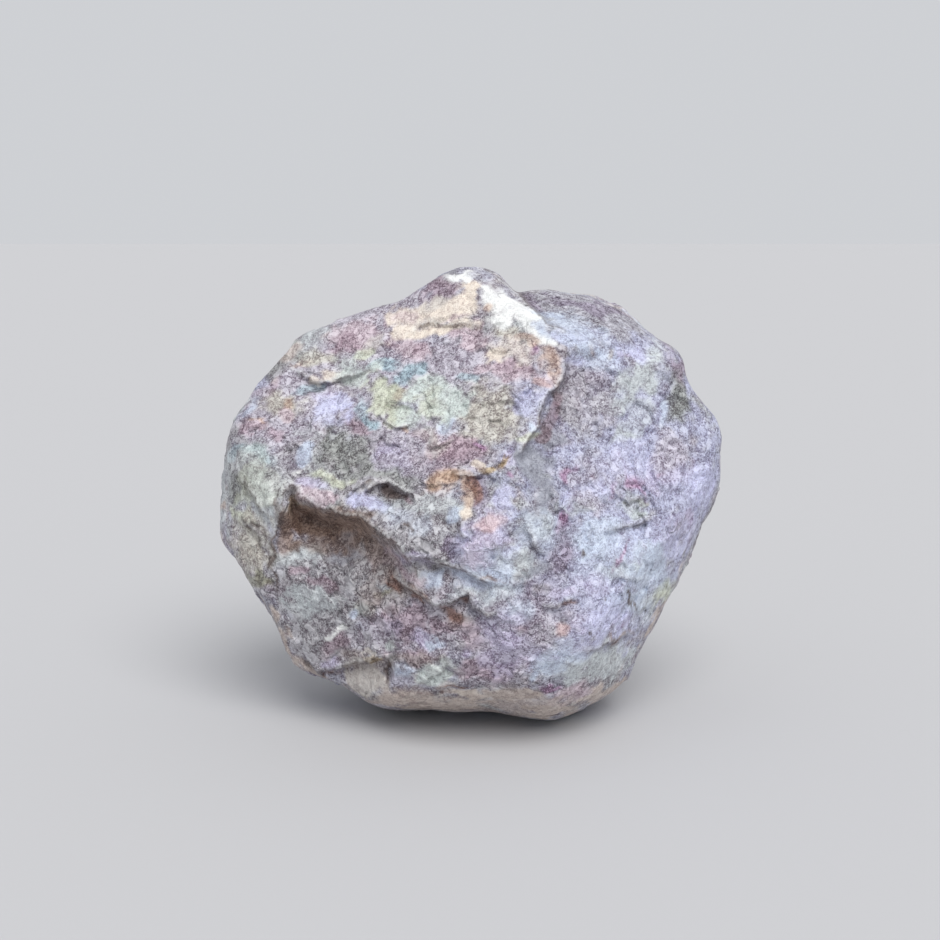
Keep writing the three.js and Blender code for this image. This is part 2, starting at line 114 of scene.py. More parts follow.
# Ledges of the front: face is how wide the drop looks, run is how far the ground takes to come back
# up, and the line is (across, up, drop) along the upper edge with the low side on its right.
LEDGES = {
    "brow of the hollow": (2.6, 24, [(-33, -12, 0), (-31.5, -8, 1.5), (-30.6, -4, 2.8), (-30.2, -0.5, 3.8),
        (-28.8, 1.6, 4.8), (-27, -0.2, 6.2), (-25, -1.7, 7.2), (-20, -3, 8), (-15, -5.3, 8), (-12.5, -7, 7),
        (-10.5, -9, 5), (-9, -12, 3), (-7.5, -15, 0)]),
    "second step": (0.7, 9, [(-12, -8.5, 0), (-9.5, -10, 2.6), (-5, -11, 2.8), (-1, -12, 2.2),
        (2, -13.5, 1.6), (5, -15, 0)]),
    "third step": (0.6, 12, [(-13, -12.5, 0), (-10.5, -14.8, 2.2), (-8.5, -16, 2.6), (-5.5, -18, 3),
        (-3.5, -17.3, 3), (-0.5, -16.5, 2.6), (0.5, -18.3, 2.4), (3, -19.5, 1.5), (5.5, -19, 0)]),
    "main ridge": (0.7, 10, [(7, 4, 0), (9, 8.2, 1.8), (10.7, 11, 3), (11.2, 13.5, 3.8), (12.5, 15.7, 3.8),
        (14.8, 18, 3.2), (15.2, 20, 1.6), (14.6, 23, 0)]),
    "step behind the peak": (0.6, 14, [(17, 25.5, 0), (13.5, 26.5, 2.5), (12.2, 27, 3.2), (10.3, 28.9, 3.8),
        (8.5, 30.8, 4.5), (7, 32.4, 5), (6, 35, 5)]),
    "upper lobe ledge": (0.5, 6, [(-37.5, 4, 0), (-36, 1.5, 1.2), (-33.5, -2.5, 1.4), (-31, -5, 0)]),
    "middle lobe ledge": (0.5, 5, [(-38, -3.2, 0), (-36, -5.2, 1.3), (-34, -7, 1.5), (-31.5, -9.5, 0)]),
    "lower lobe ledge": (0.5, 5, [(-39, -7, 0), (-37.5, -9.8, 1.2), (-36, -12, 1.5), (-33.8, -15.5, 1.2),
        (-31, -17.5, 0)]),
    "rim overhang": (0.6, 9, [(-26, -27.5, 0), (-23.5, -28.3, 1.8), (-21, -27.8, 2.8), (-18, -26.7, 3),
        (-14, -26.4, 3), (-12.8, -26.6, 2.4), (-11.6, -29.5, 0)]),
    "lower flake": (0.4, 4, [(-10, -31, 0), (-8, -30, 0.9), (-3.6, -27, 1), (-1.5, -29.2, 0.9),
        (-4, -31.6, 0)]),
    "lower right crack": (0.5, 8, [(17, -25.5, 0), (19.5, -24.8, 1.6), (22, -24, 2), (24, -23, 1.6),
        (27, -22.3, 0)]),
    "green flake": (0.4, 5, [(21, -6.2, 0), (23, -5.7, 1.1), (25.5, -4.8, 1.4), (28, -4.5, 1.2),
        (30, -3.5, 0)]),
    "upper green flake": (0.4, 4, [(22, 1, 0), (23.5, 0, 0.7), (25.5, -1.5, 0.9), (27.5, -0.9, 0.8),
        (30, -0.2, 0)]),
    "crescent flake": (0.35, 4, [(8.8, -4.5, 0), (9.8, -6.5, 1), (10.3, -8, 1.3), (11.3, -9.2, 1),
        (13, -9.5, 0)]),
    "bright flake": (0.35, 4, [(23, -12.8, 0), (24.4, -13.5, 0.9), (26.5, -14, 1), (28.4, -13.6, 0)]),
    "brown ledge": (0.35, 4, [(11, -17.2, 0), (12.5, -17.9, 0.9), (14, -18, 1.2), (16, -17.2, 0.8),
        (17.5, -16.5, 0)]),
    "yellow flake": (0.5, 5, [(-29, 20.5, 0), (-27.5, 19.5, 1), (-25, 18, 1.4), (-22, 18, 1.4),
        (-18.5, 19, 1.2), (-15.5, 20, 0)]),
    "rounded ledge": (0.5, 5, [(-17.5, 15, 0), (-18.8, 16.4, 0.8), (-20.8, 17.4, 1.2), (-23, 17, 1.3),
        (-26.2, 15.6, 1), (-28, 14, 0)]),
    "flake rim": (0.4, 4, [(-15, 13, 0), (-13.5, 11.8, 0.8), (-11.8, 10.5, 1.1), (-10, 11, 0.9),
        (-8.5, 12, 0)]),
    "pocket lip": (0.4, 5, [(-17.5, 0.4, 0), (-16, 1, 1.4), (-13, 1.8, 2.2), (-11, 1, 2), (-9, -0.6, 1.2),
        (-8, -2.5, 0)]),
    "middle ledge": (0.4, 5, [(-3, 3.4, 0), (-1.5, 2.6, 0.9), (1, 2.4, 1.2), (2.4, 3.2, 0.7), (4, 4, 0)]),
    "quartz crack": (0.4, 4, [(-10.5, 24.8, 0), (-8.8, 26.2, 0.8), (-7.5, 27.2, 1.1), (-3, 27.4, 1.1),
        (0, 27.2, 0.9), (2, 26.6, 0)]),
}

# Ledges of the back, in the same places seen through the stone
BACK_LEDGES = {
    "long step": (1, 18, [(-30, -14, 0), (-22, -6, 2.5), (-12, -1, 3.4), (0, 1, 3.6), (9, 6, 3), (18, 8, 2.4),
        (27, 15, 0)]),
    "lower step": (0.8, 12, [(-20, -22, 0), (-10, -17, 2.2), (2, -15, 2.6), (12, -18, 2), (24, -16, 0)]),
    "upper step": (0.8, 10, [(22, 24, 0), (12, 18, 2), (3, 17, 2.4), (-8, 21, 2), (-20, 19, 0)]),
}

# Dents of the front: (across, up), half sizes, turn in degrees, depth; a lump has a negative depth
DENTS = {
    "smooth hollow under the ridge": (10.5, 3.5, 3.8, 6.5, -15, 2.2),
    "diagonal valley": (13, -10, 4, 12, -35, 1.8),
    "pit behind the ridge": (14.3, 11.5, 1.4, 2.4, 0, 1),
    "floor of the hollow": (-25, -6, 6.5, 5, 0, 1.8),
    "tile in the hollow": (-20, -7.5, 2.4, 3, 20, 0.9),
    "cleft in the rim": (-12.5, -28.2, 0.8, 2.6, -10, 1.6),
    "dish of the right face": (24, 10, 12, 9, 30, 1.2),
    "scallop of the right face": (21, 16, 2.8, 2.2, 0, 0.6),
    "knob at the top right": (31.5, 21, 3.5, 3, 0, -1.2),
    "knob of the lobe": (-36, -14, 2.4, 2, 0, -0.8),
    "lower knob of the lobe": (-33, -15.5, 1.8, 1.5, 0, -0.7),
    "swell under the nose": (1, -6, 5, 9, 15, -1.5),
    "dish left of the foot": (-6, -24, 7, 4, 0, 0.9),
    "dish of the foot": (6, -25, 5, 4, 0, 0.6),
    "dot in the blue patch": (18.7, -9.1, 0.9, 0.8, 0, 0.5),
    "dark slots": (26.3, -16.6, 0.5, 1.6, -10, 0.7),
    "little pit": (-10.5, -6, 0.7, 0.6, 0, 0.8),
    "upper left crack": (-11.6, 18.8, 0.35, 1.2, 25, 0.7),
    "mint crack": (-6.4, 16.8, 0.3, 2.2, 5, 0.7),
    "lower mint crack": (-6.3, 11.4, 0.3, 1.9, 10, 0.7),
}

# Smooth places of the front: (across, up), half sizes and turn in degrees
SMOOTH_PLACES = [
    (8.4, 28.2, 7, 2, -41), (-4, 29, 6, 3, 5), (10.5, 1.5, 2.6, 5, -15), (28, 19.5, 2.6, 5, -32),
    (25.2, 9.6, 2.4, 4, -38), (-23.5, -5, 7, 3.6, -15), (19, -27.5, 7, 3.2, 15), (-16.5, -29.3, 4, 2.4, -30),
    (-5.4, -28.9, 3.2, 1.6, 22), (2, -33.5, 16, 1.6, 0), (29, -22, 1.5, 6, -28),
]

# Broken surface all round. Scars, chips and roughness are given as size, depth and seed. Layers follow
# the contours of a noise, and show where the ground's own noise, of a size and seed, is high.
WARP = {"size": 9, "reach": 2, "seeds": (31, 41, 51)}  # bends the rows of scars
SCARS = ((12, 0.9, 5), (5, 0.4, 6))
MEAN_SCAR = 0.3  # mean depth of a scar of depth 1
BROAD_LAYERS = {"size": 15, "layers": 2.6, "depth": 0.7, "seed": 61, "octaves": 2, "ground": (14, 66)}
LAYER_FALL = 0.18  # share of a layer over which it falls
LAYERED_GAIN, LAYERED_SHARE = 2.5, 0.4  # how sharply the layered ground ends, and how much there is of it

# Breaks that are finer than the CAD shows
FINE_WARP = {"size": 2.6, "reach": 1, "seeds": (71, 74, 77)}
FINE_SCARS = (2.3, 0.2, 7)
SCAR_WARP, CHIP_WARP = 0.7, 0.9  # how much of the fine warp the fine scars and the chips take
CHIPS = ((6.5, 1.5, 201), (3.1, 1, 211))
FINE_ROUGHNESS = (1.6, 0.07, 81)
FINE_LAYERS = {"size": 5, "layers": 2.5, "depth": 0.32, "seed": 65, "octaves": 3, "ground": (9, 67)}
BACK_SHARE = 0.3  # how much of the fine breaks the back has
BACK_RISE = 14  # distance out from the middle over which they grow to all of it
SMOOTH_REACH = 1.4  # a smooth place ends at this many times its half sizes
SMOOTHED = 0.75  # share of the fine breaks that a smooth place lacks

# Ledges
LEDGE_WANDER = {"size": 3.5, "reach": 0.6, "seeds": (91, 191)}  # roughens the lines of the ledges
LEDGE_FADE = 1.3  # how a ledge's drop dies away over its run, 1 is evenly
LEDGE_ENDS = 0.3  # a ledge is at full drop where its own is this share of the deepest
TIE = 1e-6  # stretches of a ledge's line whose distances differ by less meet in a corner
NEAREST, NEARNESS_POWER = 0.05, 4  # how strongly the nearest stretch sets the drop of a place
DENT_POWER = 1.5  # larger makes the dents narrower at the bottom
MARKED_DROP = 1.2  # from this drop a ledge is marked in full by painted shade below and a painted highlight above
SHADE_REACH = (0.8, 0.35)  # how far the painted shade reaches below a ledge, and how much more per drop
HIGHLIGHT_REACH = 0.8  # how far the painted highlight reaches above it
RECESS_DROP = (4.6, 2)  # the drop from which a recess gets brown painted shade, and over how much more it gets all of it
RECESS_TOP = 0.6  # distance from the brow over which the painted shade begins
RECESS_REACH, RECESS_FADE = 9, 0.8  # how far down it reaches and how it dies away

# Noise
GRID_START = 1000  # keeps the numbers of the cells above zero
NOISE_GAIN = 1.6  # brings gradient noise to about -1 to 1
CELL_MARGIN = 0.1  # how far a cell's point stays from the cell's sides
FAR = 9.0  # more than the square of the distance to any nearest point


def smooth(t):
    t = np.clip(t, 0, 1)
    return t * t * (3 - 2 * t)


def scatter(ix, iy, iz, seed):
    """Scatters whole-number places into 32 random bits."""
    with np.errstate(over="ignore"):
        bits = (ix.astype(np.uint32) * np.uint32(73856093)) ^ (iy.astype(np.uint32) * np.uint32(19349663))
        bits ^= (iz.astype(np.uint32) * np.uint32(83492791)) ^ np.uint32(seed * 2654435761 % 2**32)
        bits ^= bits >> np.uint32(13)
        bits *= np.uint32(1274126177)
        return bits ^ (bits >> np.uint32(16))


def fields(bits):
    """The three ten-bit fields of the scattered bits, each from 0 to 1."""
    return [((bits >> np.uint32(shift)) & np.uint32(1023)) / 1023.0 for shift in (0, 10, 20)]


def cell_of(places, size):
    """Whole-number cell and the place within it."""
    q = places / size + GRID_START
    base = np.floor(q).astype(np.int64)
    return base, q - base


def noise(places, size, seed):
    """Gradient noise from about -1 to 1 with features of the size."""
    base, part = cell_of(places, size)
    blend = part**3 * (part * (part * 6 - 15) + 10)
    total = 0
    for step in np.ndindex(2, 2, 2):
        slopes = fields(scatter(*(base[:, axis] + step[axis] for axis in range(3)), seed))
        share, rise = 1, 0
        for axis in range(3):
            share = share * (blend[:, axis] if step[axis] else 1 - blend[:, axis])
            rise = rise + (2 * slopes[axis] - 1) * (part[:, axis] - step[axis])
        total = total + share * rise
    return total * NOISE_GAIN


def fractal(places, size, seed, octaves):
    return sum(noise(places, size / 2**octave, seed + octave) / 2**octave for octave in range(octaves))


def wander(places, size, reach, seeds, octaves=2):
    """Shifts in as many directions as there are seeds."""
    return reach * np.stack([fractal(places, size, seed, octaves) for seed in seeds], 1)


def cell_points(places, size, seed):
    """For each of the 27 cells around a place, the way from the place to the cell's point, and its cell."""
    base, part = cell_of(places, size)
    for step in np.ndindex(3, 3, 3):
        offset = np.array(step) - 1
        cell = [base[:, axis] + offset[axis] for axis in range(3)]
        within = [CELL_MARGIN + (1 - 2 * CELL_MARGIN) * field for field in fields(scatter(*cell, seed))]
        yield [offset[axis] + within[axis] - part[:, axis] for axis in range(3)], cell


def scars(places, size, seed):
    """Dished cells that meet in crisp edges: the scars that broken flakes leave."""
    nearest = np.full(len(places), FAR)
    for apart, _ in cell_points(places, size, seed):
        nearest = np.minimum(nearest, sum(value**2 for value in apart))
    return nearest


def chips(places, size, seed):
    """Cells that each slope a way of their own, so that they meet in small crisp steps."""
    nearest, height = np.full(len(places), FAR), np.zeros(len(places))
    for apart, cell in cell_points(places, size, seed):
        slope = fields(scatter(*cell, seed + 1))
        square = sum(value**2 for value in apart)
        closer = square < nearest
        nearest = np.where(closer, square, nearest)
        height = np.where(closer, sum((slope[axis] - 0.5) * apart[axis] for axis in range(3)), height)
    return height


def layer_profile(t):
    """Rises slowly and falls at once, the profile of layers that lie over one another."""
    part = t - np.floor(t)
    return part - smooth((part - 1 + LAYER_FALL) / LAYER_FALL)


def layered(p, shift, size, layers, depth, seed, octaves, ground):
    """Height of stepped layers, which only show where the ground's noise is high."""
    profile = layer_profile(fractal(p + shift, size, seed, octaves) * layers)
    ground_size, ground_seed = ground
    return depth * profile * smooth(noise(p, ground_size, ground_seed) * LAYERED_GAIN + LAYERED_SHARE)


def silhouette(angle):
    """Radius of the silhouette at an angle, a smooth curve through the outline's points."""
    points = np.array(OUTLINE, float)
    knots = np.arctan2(points[:, 1], points[:, 0])
    order = np.argsort(knots)
    knots, radii = knots[order], np.hypot(points[:, 0], points[:, 1])[order]
    knots = np.concatenate([knots[-2:] - 2 * np.pi, knots, knots[:2] + 2 * np.pi])
    radii = np.concatenate([radii[-2:], radii, radii[:2]])
    i = np.clip(np.searchsorted(knots, angle, side="right") - 1, 1, len(knots) - 3)
    gap = knots[i + 1] - knots[i]
    t = (angle - knots[i]) / gap
    slope_in = (radii[i + 1] - radii[i - 1]) / (knots[i + 1] - knots[i - 1]) * gap
    slope_out = (radii[i + 2] - radii[i]) / (knots[i + 2] - knots[i]) * gap
    return ((2 * t**3 - 3 * t**2 + 1) * radii[i] + (t**3 - 2 * t**2 + t) * slope_in
            + (-2 * t**3 + 3 * t**2) * radii[i + 1] + (t**3 - t**2) * slope_out)


def flats():
    """The flats as outward unit normals with their distance from the middle."""
    for side, group in ((1, FRONT_FLATS), (-1, BACK_FLATS)):
        for level, across, up in group.values():
            length = math.sqrt(across**2 + up**2 + 1)
            yield np.array([-across, -up, side]) / length, level / length


def across_ledge(line, x, y):
    """Signed distance from a ledge's line, positive on its low side, and the drop there."""
    nearest, square = np.full(x.shape, np.inf), np.zeros(x.shape)
    signed, own_drop, weights, drops = (np.zeros(x.shape) for _ in range(4))
    deepest = max(point[2] for point in line)
    for (ax, ay, from_drop), (bx, by, to_drop) in zip(line, line[1:]):
        ex, ey = bx - ax, by - ay
        length = math.hypot(ex, ey)
        t = np.clip(((x - ax) * ex + (y - ay) * ey) / length**2, 0, 1)
        dx, dy = x - ax - t * ex, y - ay - t * ey
        distance = np.hypot(dx, dy)
        side = (dx * ey - dy * ex) / length
        drop = from_drop + t * (to_drop - from_drop)
        tie = np.abs(distance - nearest) < TIE
        closer = np.where(tie, np.abs(side) > square, distance < nearest)
        nearest = np.where(closer, distance, nearest)
        square = np.where(closer, np.abs(side), square)
        signed = np.where(closer, np.where(side < 0, -distance, distance), signed)
        own_drop = np.where(closer, drop, own_drop)
        weight = (distance + NEAREST) ** -NEARNESS_POWER
        weights += weight
        drops += weight * drop
    return signed, drops / weights * np.clip(own_drop / (LEDGE_ENDS * deepest), 0, 1)


def fade(distance, reach):
    """1 at no distance, 0 at the reach."""
    return np.clip(1 - distance / reach, 0, 1)


def ledge_depth(ledges, x, y):
    """Depth of a set of ledges, with how much a place lies just under, just above or deep behind one: the
    masks of painted shade, painted highlight and recess shade.
    """
    depth, under, above, recess = (np.zeros(x.shape) for _ in range(4))
    for face, run, line in ledges.values():
        signed, drop = across_ledge(line, x, y)
        depth += drop * smooth(signed / face) * fade(signed, run) ** LEDGE_FADE
        strength = np.clip(drop / MARKED_DROP, 0, 1)
        shade_reach = SHADE_REACH[0] + SHADE_REACH[1] * drop
        under = np.maximum(under, strength * (signed > 0) * fade(signed, shade_reach))
        above = np.maximum(above, strength * (signed <= 0) * fade(-signed, HIGHLIGHT_REACH))
        deep = smooth((drop - RECESS_DROP[0]) / RECESS_DROP[1])
        shelter = deep * smooth(signed / RECESS_TOP) * fade(signed, RECESS_REACH) ** RECESS_FADE
        recess = np.maximum(recess, shelter)
    return depth, under, above, recess


def turned(x, y, px, py, half_across, half_up, turn=0):
    """Square of the distance from a patch's middle, 1 on its edge."""
    angle = math.radians(turn)
    dx, dy = x - px, y - py
    along = (dx * math.cos(angle) + dy * math.sin(angle)) / half_across
    beside = (dy * math.cos(angle) - dx * math.sin(angle)) / half_up
    return along**2 + beside**2


def dent_depth(x, y):
    return sum(depth * fade(turned(x, y, *place), 1) ** DENT_POWER for *place, depth in DENTS.values())


def broken_depth(p):
    """Depth of the scars and layers that the breaks left all round."""
    warp = wander(p, **WARP)
    depth = sum(deepest * (scars(p + warp, size, seed) - MEAN_SCAR) for size, deepest, seed in SCARS)
    return depth - layered(p, 0.5 * warp, **BROAD_LAYERS)


def fine_depth(p, x, y):
    """Depth of the scars, chips and layers that are finer than the CAD shows."""
    warp = wander(p, **FINE_WARP)
    size, deepest, seed = FINE_SCARS
    depth = deepest * (scars(p + SCAR_WARP * warp, size, seed) - MEAN_SCAR)
    size, deepest, seed = FINE_ROUGHNESS
    depth += deepest * fractal(p, size, seed, 2)
    for size, deepest, seed in CHIPS:
        depth += deepest * chips(p + CHIP_WARP * warp, size, seed)
    depth -= layered(p, warp, **FINE_LAYERS)
    calm = np.max([smooth(SMOOTH_REACH - np.sqrt(turned(x, y, *place))) for place in SMOOTH_PLACES], axis=0)
    share = BACK_SHARE + (1 - BACK_SHARE) * smooth(p[:, 2] / BACK_RISE)
    return depth * share * (1 - SMOOTHED * calm)


def lump(directions):
    """The stone before it has ledges and scars: a rounded body cut by its flats, in face axes."""
    across = np.hypot(directions[:, 0], directions[:, 1])
    shrink = math.sqrt(1 - (FRONT_DEPTH / VIEW_DISTANCE) ** 2)
    radius = silhouette(np.arctan2(directions[:, 1], directions[:, 0])) * shrink
    depth = np.where(directions[:, 2] > 0, FRONT_DEPTH, BACK_DEPTH)
    body = (across / radius) ** BODY_POWER + (np.abs(directions[:, 2]) / depth) ** BODY_POWER
    total = body ** (EDGE_POWER / BODY_POWER)
    for normal, distance in flats():
        total += np.clip(directions @ normal / distance, 0, None) ** EDGE_POWER
    return directions * (total ** (-1 / EDGE_POWER))[:, None]


def form(directions):
    """The stone's surface in face axes (across, up, out) and what the painting needs to know."""
    p = lump(directions)
    nearer = VIEW_DISTANCE / (VIEW_DISTANCE - p[:, 2])
    x, y = (p[:, :2] * nearer[:, None] + wander(p, **LEDGE_WANDER)).T
    start, growth = FRONT_FADE
    front = smooth((directions[:, 2] + start) / growth)
    back = smooth((-directions[:, 2] - start) / growth)
    front_cut, under, above, recess = ledge_depth(LEDGES, x, y)
    back_cut, back_under, back_above, _ = ledge_depth(BACK_LEDGES, x, y)
    cut = (front_cut + dent_depth(x, y)) * front + back_cut * back
    cut += broken_depth(p) + fine_depth(p, x, y)
    sight = np.array([0, 0, VIEW_DISTANCE]) - p
    sight /= np.linalg.norm(sight, axis=1)[:, None]
    inward = sight * front[:, None] + directions * (1 - front)[:, None]
    # under, above and recess mark where the painting lays painted shade under the ledges, a painted highlight
    # on their lips and brown painted shade behind the brow
    paint = {
        "x": x, "y": y, "front": front, "recess": recess * front,
        "under": under * front + back_under * back, "above": above * front + back_above * back,
    }
    return p - inward * cut[:, None], paint


LEAN = math.radians(FACE_LEAN)
RIGHT = np.array([1, 0, 0])
UP = np.array([0, math.sin(LEAN), math.cos(LEAN)])
OUT = np.array([0, -math.cos(LEAN), math.sin(LEAN)])


def upright(points):
    """Turns face axes into world axes, still in millimetres, with the resting face at 0."""
    return points @ np.array([RIGHT, UP, OUT]) + np.array([0, 0, BASE_DROP])


# Painting

# sRGB colours of the minerals in soft daylight, and how speckled each is
MINERALS = {
    "lilac white": ((171, 175, 204), 0.85),
    "mauve grain": ((168, 162, 176), 1),
    "grey grain": ((148, 146, 151), 1),
    "maroon": ((140, 114, 128), 1),
    "magenta": ((148, 104, 142), 0.9),
    "dark purple": ((112, 100, 122), 1),
    "pink": ((196, 174, 184), 0.7),
    "lilac": ((192, 185, 216), 0.75),
    "bright lilac": ((226, 215, 238), 0.55),
    "lavender": ((206, 209, 241), 0.5),
    "blue white": ((197, 210, 230), 0.45),
    "quartz white": ((240, 242, 240), 0.12),
    "quartz cream": ((240, 228, 212), 0.35),
    "orange": ((194, 160, 134), 0.65),
    "salmon": ((206, 174, 172), 0.6),
    "ochre": ((176, 152, 114), 0.7),
    "rust": ((106, 68, 55), 0.7),
    # hollow brown is the hollow's own brown and also lays painted shade behind the brow; dark brown is mostly
    # painted shade under ledges and in pits and cracks, and dark maroon is painted shade beside the ridge
    "hollow brown": ((118, 94, 81), 0.6),
    "dark brown shade": ((70, 54, 49), 0.5),
    "dark maroon shade": ((94, 72, 82), 0.7),
    "brown grain": ((134, 121, 118), 0.9),
    "teal": ((148, 176, 188), 0.8),
    "mint": ((202, 214, 209), 0.5),
    "pale green": ((204, 210, 186), 0.5),
    "grey mint": ((192, 200, 202), 0.45),
    "olive": ((116, 114, 86), 0.7),
    "dark grey green": ((104, 107, 103), 1),
    "tan grey": ((184, 180, 168), 0.8),
    "smooth grey": ((144, 147, 158), 0.3),
    "beige": ((200, 186, 176), 0.4),
    "pale stone": ((208, 202, 194), 0.3),
}

